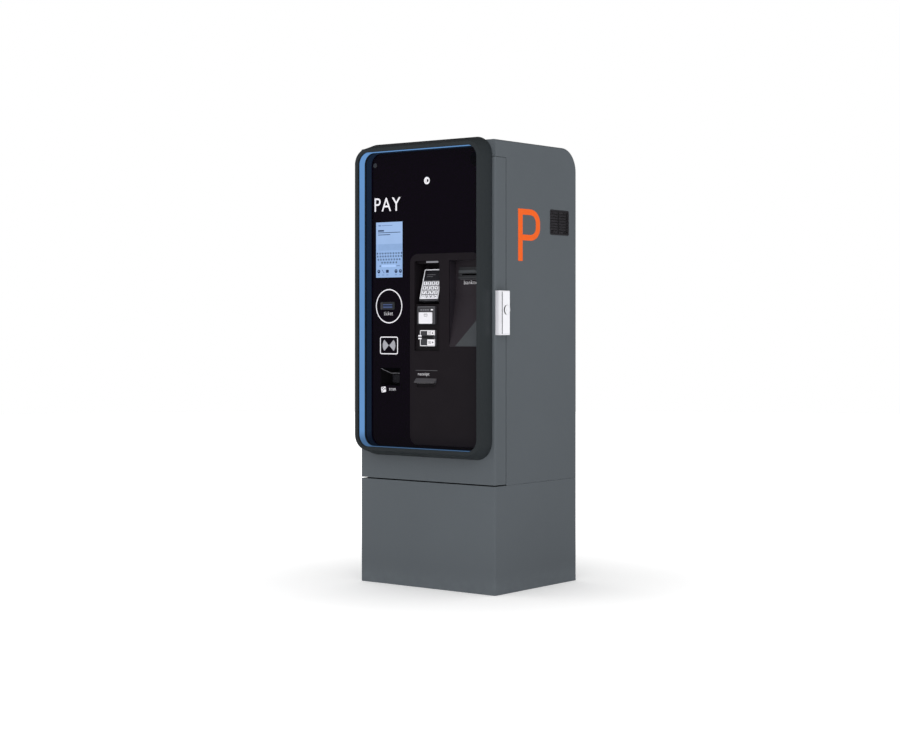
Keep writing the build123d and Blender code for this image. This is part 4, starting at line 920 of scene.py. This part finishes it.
class MACHINE_OT_ticket_and_scan(bpy.types.Operator):
    """Light the ticket slot's lips and paint highlights along the scan recess's creases"""
    bl_idname = "ticket_machine.ticket_and_scan"
    bl_label = "Ticket slot and scan recess"

    def execute(self, context):
        face = front_face(extent("ticket_bezel")[0][1])
        lips = [plate(face, "lip", (-196, -150), z, 0.6, 0.8, 0.25)
                for z in ((1083.8, 1088.6), (1073.4, 1080.0))]
        fit(join("ticket_lips", lips), "door", "slot_light", "light_diffuser")
        tab = plate(face, "ticket_tab", (-209, -198.5), (1069, 1095), 0.7, 1.5, 0.25)
        fit(tab, "door", "reader_plastic", "slot_metal")
        # Painted highlights: thin grey lines along the scan recess's top creases, where its edges catch the
        # light.
        floor = front_face(GLASS_Y + 30)
        edge = plate(floor, "crease", (-184, -123), (819.7, 821.2), 1.2, 0.5, 0.4)
        start, end = Vector((-211, GLASS_Y, 840)), Vector((-184, GLASS_Y + 30, 821))
        run = end - start
        slope = Face(start + Vector((0.6, 0, -1.2)), run, Vector((0.4, -1, -0.9)).cross(run))
        crease = plate(slope, "crease", (1, run.length - 1), (-0.6, 0.6), 1.0, 0.4, 0.3)
        fit(join("scan_creases", [edge, crease]), "door", "grey_ink", "panel_plastic")
        window = plate(floor, "scan_window", (-179.5, -127.5), (781.5, 816.5), 0.8, 2, 0.3, lift=-2.2)
        fit(window, "door", "window_black", "black_glass")
        return {"FINISHED"}


KEY_WORDS = ("1", "2", "3", "X", "4", "5", "6", "<", "7", "8", "9", "O", "*", "0", "#", ">")


class MACHINE_OT_key_pad(bpy.types.Operator):
    """Trim the PIN pad and print its keys; each print rides on its key"""
    bl_idname = "ticket_machine.key_pad"
    bl_label = "PIN pad"

    def execute(self, context):
        for i, word in enumerate(KEY_WORDS):
            column, row = i % 4, i // 4
            x = 19.6 * (column - 1.5)
            y = 16 + 17.8 * (3 - row)
            name = "key_%02d" % (i + 1)
            wide = 1.8 if word == "1" else 4.1
            print_ = lettering(PIN_FACE, name + "_print", word, (x - wide, x + wide), (y - 4.8, y + 4.8),
                               0.2, 0.03, lift=1.8)
            fit(print_, name, "dark_ink", "panel_plastic")
        fit(outline(PIN_FACE, "pin_trim", (-44.6, 44.6), (7.4, 125.4), 3.4, 1.4, 3, 0.4), "door", "key_metal",
            "key_silver")
        fit(plate(PIN_FACE, "pin_window", (-40.8, 40.8), (79.5, 121.6), 0.6, 1.6, 0.15), "door",
            "window_black", "black_glass")
        segments = [plate(PIN_FACE, "row", (-28, 12), (103, 105.2), 0.1, lift=0.6),
                    plate(PIN_FACE, "row", (-28, 0), (95.5, 97.7), 0.1, lift=0.6)]
        fit(join("pin_window_rows", segments), "door", "line_ink", "black_glass")
        lamp_z = POCKET_HIGH[2] - 2.5
        lamp = front_face(PANEL_Y + 14)
        tube = plate(lamp, "pocket_lamp", (8, 66), (lamp_z - 7.5, lamp_z - 1.2), 3.2, 1.5, 0.8)
        fit(tube, "door", "pocket_light", "light_diffuser")
        rail = plate(front_face(PANEL_Y + 20), "pocket_lamp_rail", (POCKET_LOW[0] + 3, POCKET_HIGH[0] - 3),
                     (lamp_z - 10, lamp_z - 0.3), 5.6, 1, 0.8)
        fit(rail, "door", "pocket_plastic", "panel_plastic")
        fit(plate(PIN_FACE, "pin_sill", (-45, 45), (0.4, 6.8), 2.0, 1.2, 0.5), "door", "reader_plastic",
            "reader_black")
        return {"FINISHED"}


class MACHINE_OT_card_readers(bpy.types.Operator):
    """Fit the contactless landing zone, its lamps and the chip reader's frame and pictures"""
    bl_idname = "ticket_machine.card_readers"
    bl_label = "Card readers"

    def execute(self, context):
        low, high = extent("contactless_reader")
        recess = front_face(low[1] + 1.5)
        fit(plate(recess, "tap_zone", (-17, 49), (1012.5, 1056), 1.8, 2, 0.3), "door", "zone_print",
            "key_silver")
        lamps = [plate(recess, "lamp", (x, x + 7), (1063.6, 1066.4), 0.6, 1, 0.2) for x in (-9, 2, 13, 24)]
        fit(join("tap_lamps", lamps), "door", "grey_ink", "light_diffuser")
        fit(plate(recess, "tap_badge", (41, 52), (1063, 1068), 0.6, 1, 0.2), "door", "white_ink",
            "key_silver")
        mark = [outline(recess, "tap_card", (9, 25), (1040, 1050.5), 1.2, 0.15, 1.6, lift=1.8),
                plate(recess, "tap_line", (11, 23), (1045.8, 1047.2), 0.15, lift=1.8)]
        fit(join("tap_picture", mark), "door", "line_ink", "panel_plastic")
        # Painted highlights: lighter lines along the reader frame's top and right edges, where its bevels
        # catch the light.
        lit = [plate(front_face(low[1]), "edge", (-21, 61), (1075.2, 1078.2), 0.5, 1, 0.2),
               plate(front_face(low[1]), "edge", (56.4, 60.4), (1011, 1074), 0.5, 1, 0.2)]
        fit(join("tap_reader_edges", lit), "door", "line_ink", "reader_black")
        chip = front_face(extent("chip_reader")[0][1] + 2)
        frame_line = outline(chip, "chip_frame", (-10, 62.5), (927, 987.5), 2.6, 0.7, 3, 0.25)
        fit(frame_line, "door", "white_ink", "key_silver")
        cells = [plate(chip, "cell", (25, 58.8), z, 0.5, 1.5, 0.2) for z in ((969.4, 984.0), (930.4, 952.6))]
        fit(join("chip_cells", cells), "door", "white_ink", "key_silver")
        pictures = []
        for z in (976.7, 941.5):
            pictures.append(outline(chip, "picture", (29, 44), (z - 5, z + 5), 1.1, 0.12, 1.4, lift=0.5))
            pictures.append(plate(chip, "picture", (32, 41), (z - 0.6, z + 1.6), 0.12, lift=0.5))
            pictures.append(wedge(chip, "picture", 56, z, 7, 180, 32, 0.12, lift=0.5))
        fit(join("chip_pictures", pictures), "door", "dark_ink", "panel_plastic")
        mouth = front_face(extent("chip_reader")[0][1])
        lips = [plate(mouth, "lip", (-17, -1), z, 0.7, 1.4, 0.3) for z in ((963.4, 969), (953, 958.4))]
        fit(join("chip_lips", lips), "door", "white_ink", "key_silver")
        guards = [plate(mouth, "guard", (0, 58), z, 0.5, 1, 0.2) for z in ((963.2, 965.8), (956.2, 958.8))]
        fit(join("chip_guards", guards), "door", "dark_recess", "reader_black")
        return {"FINISHED"}


class MACHINE_OT_note_pocket(bpy.types.Operator):
    """Lay a thin lighter triangle on the ramp as painted light, and print the banknote word"""
    bl_idname = "ticket_machine.note_pocket"
    bl_label = "Banknote pocket"

    def execute(self, context):
        # Painted light: a thin lighter triangle over the ramp's lower right, standing for light falling
        # there; it lies flat on the ramp.
        slope = math.hypot(RAMP_RISE[1], RAMP_RISE[2]) / RAMP_RISE[2]
        piece = card("ramp_facet", (157, 261), (1.5 * slope, 121 * slope))
        edit(piece, "VERT")
        pick(piece, "verts", lambda c: c.x < 160 and c.y > 60)
        bpy.ops.mesh.merge(type="COLLAPSE")
        pick(piece, "verts", lambda c: c.x < 160 and c.y > 60)
        bpy.ops.mesh.delete(type="VERT")
        bpy.ops.mesh.select_all(action="SELECT")
        bpy.ops.mesh.edge_face_add()
        bpy.ops.mesh.normals_make_consistent(inside=False)
        leave()
        RAMP_FACE.settle(thicken(piece, 0.5, 0.15))
        fit(piece, "door", "facet_plastic", "panel_plastic")
        back = front_face(PANEL_Y + 42)
        word = lettering(back, "word_banknote", "banknote", (167, 254), (1161, 1176), 0.2, -0.006)
        fit(word, "door", "white_ink", "lock_white")
        fit(plate(back, "note_line", (150, 258), (1178.6, 1180), 0.5, 0.5, 0.2), "door", "line_ink",
            "panel_plastic")
        lips_y = extent("note_bezel")[0][1]
        lip = plate(front_face(lips_y), "note_lip_face", (152, 256), (1204.5, 1214.5), 0.5, 2, 0.25)
        fit(lip, "door", "facet_plastic", "slot_metal")
        return {"FINISHED"}


class MACHINE_OT_receipt(bpy.types.Operator):
    """Print the receipt word and paint a thin highlight line along the top edge of the outlet's surround"""
    bl_idname = "ticket_machine.receipt"
    bl_label = "Receipt outlet"

    def execute(self, context):
        fit(lettering(PANEL, "word_receipt", "receipt", (-23, 33), (811, 826), 0.2, -0.004), "door",
            "white_ink",
            "lock_white")
        # Painted highlight: a thin light line standing for the lit top edge of the outlet's surround.
        fit(plate(PANEL, "receipt_guide", (-35, 72), (833.2, 834.8), 0.3, 0.4, 0.1), "door", "line_ink",
            "panel_plastic")
        flap = plate(front_face(PANEL_Y + 3.5), "receipt_flap", (-27.2, 61.2), (771.6, 784.4), 1.5, 1, 0.4)
        fit(flap, "door", "pocket_plastic", "panel_plastic")
        slot = front_face(PANEL_Y + 2)
        teeth = [plate(slot, "tooth", (x, x + 1.6), (783.6, 784.6), 0.5) for x in range(-26, 60, 4)]
        fit(join("receipt_cutter", teeth), "door", "bright_steel", "slot_metal")
        return {"FINISHED"}


class MACHINE_OT_side_lock(bpy.types.Operator):
    """Fit the lock's front strip of painted shade, its collar and the painted shadow in its key slot"""
    bl_idname = "ticket_machine.side_lock"
    bl_label = "Side lock"

    def execute(self, context):
        # Painted shade: a grey copy of the lock's lacquer over the inner half of its front face, standing for
        # that face lying in shade.
        front = front_face(LOCK_LOW[1])
        strip = plate(front, "lock_side_strip", (SIDE_X + 0.3, SIDE_X + 15),
                      (LOCK_LOW[2] + 1.5, LOCK_HIGH[2] - 1.5),
                      0.5, 0.8, 0.2)
        fit(strip, "door", "grey_lacquer", "lock_white")
        side = right_face(LOCK_HIGH[0])
        axis_y, axis_z = LOCK_AXIS
        collar = ring(side, "lock_collar", axis_y, axis_z, 20.6, 1.7, 0.6, 0.2)
        fit(collar, "door", "white_lacquer", "lock_white")
        seam = plate(side, "lock_seam", (LOCK_LOW[1] + 1.4, LOCK_LOW[1] + 5.4),
                     (LOCK_LOW[2] + 4, LOCK_HIGH[2] - 4), 0.15, 0.6)
        fit(seam, "door", "reader_plastic", "slot_metal")
        cap = plate(side, "lock_cap_lip", (LOCK_LOW[1] + 9, LOCK_HIGH[1] - 4),
                    (LOCK_LOW[2] + 5.5, LOCK_LOW[2] + 6.5),
                    0.3, 0.3, 0.1)
        fit(cap, "door", "grey_lacquer", "lock_white")
        face = right_face(extent("lock_rotor")[1][0])
        shade = wedge(face, "rotor_shade", axis_y, axis_z, 17.8, 180, 88, 0.15)
        cutter = disc(face, "rotor_cut", axis_y + 7.5, axis_z, 18.4, 2, lift=-1)
        combine(shade, cutter, "DIFFERENCE")
        fit(shade, "lock_rotor", "reader_plastic", "slot_metal")
        return {"FINISHED"}


class MACHINE_OT_side_sign(bpy.types.Operator):
    """Cut the parking letter in vinyl for the right side"""
    bl_idname = "ticket_machine.side_sign"
    bl_label = "Side sign"

    def execute(self, context):
        left, right, bottom, top = -123.5, 19.6, 1250.5, 1448.5
        low_bowl, stroke, wider = 1329.0, 22.0, 1.26
        bowl = hollow(card("parking_letter", (left / wider, right / wider), (low_bowl, top), 50,
                           lambda c: c.x > 0),
                      stroke)
        edit(bowl, start="SELECT")
        bpy.ops.transform.resize(value=(wider, 1, 1), center_override=(0, 0, 0))
        leave()
        thicken(bowl, 0.3)
        stem = thicken(card("stem", (left, left + 29.5), (bottom, top), 3, lambda c: c.y < low_bowl), 0.3)
        fit(SIDE.settle(combine(bowl, stem, "UNION")), "cabinet", "orange_vinyl", "cabinet_paint")
        return {"FINISHED"}


class MACHINE_OT_vent(bpy.types.Operator):
    """Trim the side vent and lay a filter mat behind its louvres"""
    bl_idname = "ticket_machine.vent"
    bl_label = "Side vent"

    def execute(self, context):
        low, high = extent("vent_grille")
        trim = outline(right_face(SIDE_X + 0.2), "vent_trim", (low[1] - 3, high[1] + 3),
                       (low[2] - 3, high[2] + 3),
                       4.4, 1.2, 7, 0.4)
        fit(trim, "cabinet", "vent_black", "vent_black")
        mat = plate(right_face(SIDE_X - 6), "vent_filter", (low[1] + 2, high[1] - 2),
                    (low[2] + 2, high[2] - 2), 1.0, 4,
                    0.3)
        fit(mat, "cabinet", "filter_mat", "vent_black")
        return {"FINISHED"}


class MACHINE_OT_door_inside(bpy.types.Operator):
    """Fit screws, plugs, handles and boards to the modules behind the door"""
    bl_idname = "ticket_machine.door_inside"
    bl_label = "Inside of the door"

    def execute(self, context):
        rails_back = extent("module_rails")[1][1]
        flange = inner_face(rails_back + 2)
        places = []
        for node in ("display_module", "ticket_unit", "proximity_reader", "barcode_scanner"):
            low, high = extent(node)
            for x in (low[0] + 6, high[0] - 8):
                for z in (low[2] + 7, high[2] - 7):
                    places.append((-x, z))
        fit(studs(flange, "module_screws", places, 3.6, 2.6, 0.5, socket=1.9), "door", "bright_steel",
            "zinc_steel")
        low, high = extent("display_module")
        back = inner_face(high[1])
        ribs = [plate(back, "rib", (-high[0] + 24, -low[0] - 26), (z, z + 3), 1.6, 1, 0.5)
                for z in range(int(low[2]) + 30, int(high[2]) - 30, 14)]
        fit(join("display_ribs", ribs), "door", "module_plastic", "module_case")
        socket = plate(back, "socket", (-low[0] - 80, -low[0] - 48), (low[2] + 18, low[2] + 26), 5, 1, 0.5)
        fit(socket, "door", "terminal_grey", "module_case")
        low, high = extent("note_cassette")
        back = inner_face(high[1])
        middle_x = -(low[0] + high[0]) / 2
        grip = outline(back, "cassette_handle", (middle_x - 36, middle_x + 36),
                       (low[2] + 70, low[2] + 104), 8, 9, 5, 2)
        fit(grip, "door", "handle_blue", "cassette_grey")
        low, high = extent("note_acceptor")
        back = inner_face(high[1])
        board = plate(back, "acceptor_board", (-high[0] + 12, -low[0] - 12),
                      (low[2] + 26, high[2] - 22), 1.6, 2)
        fit(board, "door", "board_green", "module_case")
        chips = []
        for i, (x, z, w, h) in enumerate(((-236, 1130, 22, 22), (-205, 1128, 30, 14), (-178, 1150, 12, 34),
                                         (-232, 1180, 26, 10), (-200, 1186, 18, 18))):
            chips.append(plate(back, "chip", (x - w / 2, x + w / 2), (z, z + h), 2.4, 0.8, 0.3, lift=1.6))
        fit(join("acceptor_chips", chips), "door", "dark_recess", "module_case")
        low, high = extent("ticket_unit")
        back = inner_face(high[1])
        lid = outline(back, "ticket_lid", (111, 231), (low[2] + 14, high[2] - 14), 5, 1.4, 5, 0.5)
        fit(lid, "door", "module_plastic", "module_case")
        plugs = [plate(back, "plug", (x, x + 16), (1060, 1072), 7, 1, 0.6) for x in (124, 150, 176)]
        fit(join("ticket_plugs", plugs), "door", "terminal_grey", "module_case")
        low, high = extent("receipt_printer")
        knob = right_face(high[0])
        fit(disc(knob, "printer_knob", -236, 778, 9, 6, 1.2, sides=28), "door", "handle_blue", "module_case")
        return {"FINISHED"}


class MACHINE_OT_cabinet_inside(bpy.types.Operator):
    """Fit terminals, breakers, plugs, lamps and caps inside the cabinet"""
    bl_idname = "ticket_machine.cabinet_inside"
    bl_label = "Inside of the cabinet"

    def execute(self, context):
        plate_face = front_face(PLATE_Y)
        rail = plate(plate_face, "terminal_rail", (-40, 230), (900, 935), 7.5, 0, 0.5)
        fit(rail, "cabinet", "zinc_steel", "zinc_steel")
        blocks = [plate(plate_face, "terminal", (-30 + 9 * i, -22.4 + 9 * i), (885, 950), 42, 0.6, 0.8,
                        lift=7.6)
                  for i in range(22)]
        fit(join("terminal_row", blocks), "cabinet", "terminal_grey", "module_case")
        breakers = [plate(plate_face, "breaker", (176 + 18 * i, 193 + 18 * i), (878, 958), 58, 0.8, 1.0,
                          lift=7.6)
                    for i in range(2)]
        levers = [plate(plate_face, "lever", (180 + 18 * i, 189 + 18 * i), (912, 930), 8, 1, 0.8, lift=65.6)
                  for i in range(2)]
        fit(join("breakers", breakers), "cabinet", "module_plastic", "module_case")
        fit(join("breaker_levers", levers), "cabinet", "handle_blue", "module_case")
        low, high = extent("controller_unit")
        front = front_face(low[1])
        sockets = [plate(front, "socket", (x, x + w), (low[2] + 30, low[2] + 30 + h), 3, 0.8, 0.5)
                   for x, w, h in ((-40, 34, 14), (4, 34, 14), (48, 16, 18), (74, 16, 18),
                                   (100, 16, 18), (126, 40, 12))]
        fit(join("controller_sockets", sockets), "cabinet", "terminal_grey", "module_case")
        lamps = [disc(front, "lamp", 186 + 8 * i, low[2] + 40, 1.6, 0.8, 0.2, sides=12) for i in range(3)]
        fit(join("controller_lamps", lamps), "cabinet", "pocket_light", "light_diffuser")
        low, high = extent("power_supply")
        front = front_face(low[1])
        slots = [plate(front, "slot", (low[0] + 18, high[0] - 18),
                       (low[2] + 40 + 12 * i, low[2] + 45 + 12 * i), 0.7, 2,
                       0.2) for i in range(12)]
        fit(join("supply_louvres", slots), "cabinet", "dark_recess", "module_case")
        low, high = extent("backup_battery")
        top = Face((0, 0, high[2]), (1, 0, 0), (0, 1, 0))
        caps = [disc(top, "cap", x, PLATE_Y - 100, 9.6, 2.2, 0.7, sides=28) for x in (-220, -90)]
        fit(caps[0], "cabinet", "terminal_red", "battery_plastic")
        fit(caps[1], "cabinet", "dark_recess", "battery_plastic")
        front = front_face(low[1])
        grooves = [plate(front, "groove", (low[0] + 14, high[0] - 14),
                         (low[2] + 18 + 26 * i, low[2] + 26 + 26 * i),
                         1.0, 3, 0.4) for i in range(4)]
        fit(join("battery_ribs", grooves), "cabinet", "battery_case", "battery_plastic")
        corners = [(x, z) for x in (-262, 262) for z in (510, 1530)]
        fit(studs(plate_face, "plate_nuts", corners, 6.5, 4.5, 0.6, 6, 3.2), "cabinet", "bright_steel",
            "zinc_steel")
        return {"FINISHED"}


class MACHINE_OT_studio(bpy.types.Operator):
    """Lay the pale floor, hang the soft lights and stand the camera"""
    bl_idname = "ticket_machine.studio"
    bl_label = "Studio"

    def execute(self, context):
        scene = context.scene
        studio = scene.ticket_machine.studio
        bpy.ops.object.select_all(action="DESELECT")
        bpy.ops.mesh.primitive_circle_add(vertices=96, radius=14, fill_type="NGON", location=(0, 0, -0.0004))
        floor = name_piece(bpy.context.object, "studio_floor")
        mix = Finish("floor_paper", Roughness=0.9, Specular_IOR_Level=0.1)
        # Painted shade and glow: the floor is darker round the machine and brightens to a white glow farther
        # off, where it blends into the backdrop.
        reach = mix.math("SQRT", mix.axis("X") * mix.axis("X") + mix.axis("Y") * mix.axis("Y"))
        far = mix.step(reach, 0.3, 2.2)
        mix.colour(mix.blend(far, mix.blend(mix.noise(2.0), (0.88, 0.88, 0.88, 1), (0.92, 0.92, 0.92, 1)),
                             (1, 1, 1, 1)))
        mix.feed(mix.shader.inputs["Emission Color"],
                 mix.blend(far, (0.16, 0.16, 0.16, 1), (0.5, 0.5, 0.5, 1)))
        mix.shader.inputs["Emission Strength"].default_value = 1.0
        floor.data.materials.append(mix.material)
        floor.visible_glossy = False
        world = bpy.data.worlds.new("studio_sky")
        scene.world = world
        world.use_nodes = True
        nodes, links = world.node_tree.nodes, world.node_tree.links
        nodes.clear()
        path = nodes.new("ShaderNodeLightPath")
        shells = []
        for strength in (studio.ambient, GLOSSY_SKY, 1.0):
            shell = nodes.new("ShaderNodeBackground")
            shell.inputs["Color"].default_value = (1, 1, 1, 1)
            shell.inputs["Strength"].default_value = strength
            shells.append(shell)
        glossy, camera = nodes.new("ShaderNodeMixShader"), nodes.new("ShaderNodeMixShader")
        links.new(path.outputs["Is Glossy Ray"], glossy.inputs[0])
        links.new(shells[0].outputs[0], glossy.inputs[1])
        links.new(shells[1].outputs[0], glossy.inputs[2])
        links.new(path.outputs["Is Camera Ray"], camera.inputs[0])
        links.new(glossy.outputs[0], camera.inputs[1])
        links.new(shells[2].outputs[0], camera.inputs[2])
        links.new(camera.outputs[0], nodes.new("ShaderNodeOutputWorld").inputs[0])
        for name, place, aim, size, power in (
                ("key_light", (3.2, -4.2, 3.6), (0, 0, 0.9), 3.0, 55),
                ("fill_light", (-4.0, -2.5, 2.6), (0, 0, 0.9), 3.0, 18),
                ("side_light", (5.0, 1.2, 2.4), (0.3, 0, 1.0), 2.6, 1.5)):
            lamp = bpy.data.lights.new(name, "AREA")
            lamp.size, lamp.energy = size, power
            holder = bpy.data.objects.new(name, lamp)
            scene.collection.objects.link(holder)
            holder.location = place
            holder.rotation_euler = (Vector(aim) - Vector(place)).to_track_quat("-Z", "Y").to_euler()
            holder.visible_glossy = False
        camera = bpy.data.objects.new("studio_camera", bpy.data.cameras.new("studio_camera"))
        scene.collection.objects.link(camera)
        camera.location = studio.eye
        camera.rotation_euler = (math.radians(90), 0, studio.turn)
        camera.data.sensor_width = 36
        camera.data.lens = studio.lens
        camera.data.shift_y = studio.rise
        camera.data.clip_end = 60
        scene.camera = camera
        scene.view_settings.view_transform = "Standard"
        return {"FINISHED"}


OPERATORS = (
    MACHINE_OT_cabinet_finish, MACHINE_OT_bezel, MACHINE_OT_glass_prints, MACHINE_OT_screen,
    MACHINE_OT_ticket_and_scan, MACHINE_OT_key_pad, MACHINE_OT_card_readers, MACHINE_OT_note_pocket,
    MACHINE_OT_receipt, MACHINE_OT_side_lock, MACHINE_OT_side_sign, MACHINE_OT_vent, MACHINE_OT_door_inside,
    MACHINE_OT_cabinet_inside, MACHINE_OT_studio)


class MACHINE_PT_panel(bpy.types.Panel):
    """The machine's settings and the steps that make its looks"""
    bl_idname = "MACHINE_PT_panel"
    bl_label = "Ticket Machine"
    bl_space_type = "VIEW_3D"
    bl_region_type = "UI"
    bl_category = "Ticket Machine"

    def draw(self, context):
        settings = context.scene.ticket_machine
        for group in (settings.colours, settings.prints, settings.lights, settings.screen, settings.studio):
            column = self.layout.column()
            for key in group.bl_rna.properties.keys():
                if key not in ("rna_type", "name"):
                    column.prop(group, key)
        for operator in OPERATORS:
            self.layout.operator(operator.bl_idname)


CLASSES = (MachineColours, MachinePrints, MachineLights, MachineScreen, MachineStudio, MachineSettings,
           *OPERATORS, MACHINE_PT_panel)


def register():
    for cls in CLASSES:
        bpy.utils.register_class(cls)
    bpy.types.Scene.ticket_machine = bpy.props.PointerProperty(type=MachineSettings)


def unregister():
    del bpy.types.Scene.ticket_machine
    for cls in reversed(CLASSES):
        bpy.utils.unregister_class(cls)


def main():
    register()
    for operator in OPERATORS:
        group, name = operator.bl_idname.split(".")
        getattr(getattr(bpy.ops, group), name)()
    bpy.context.view_layer.update()


if __name__ == "__main__":
    main()
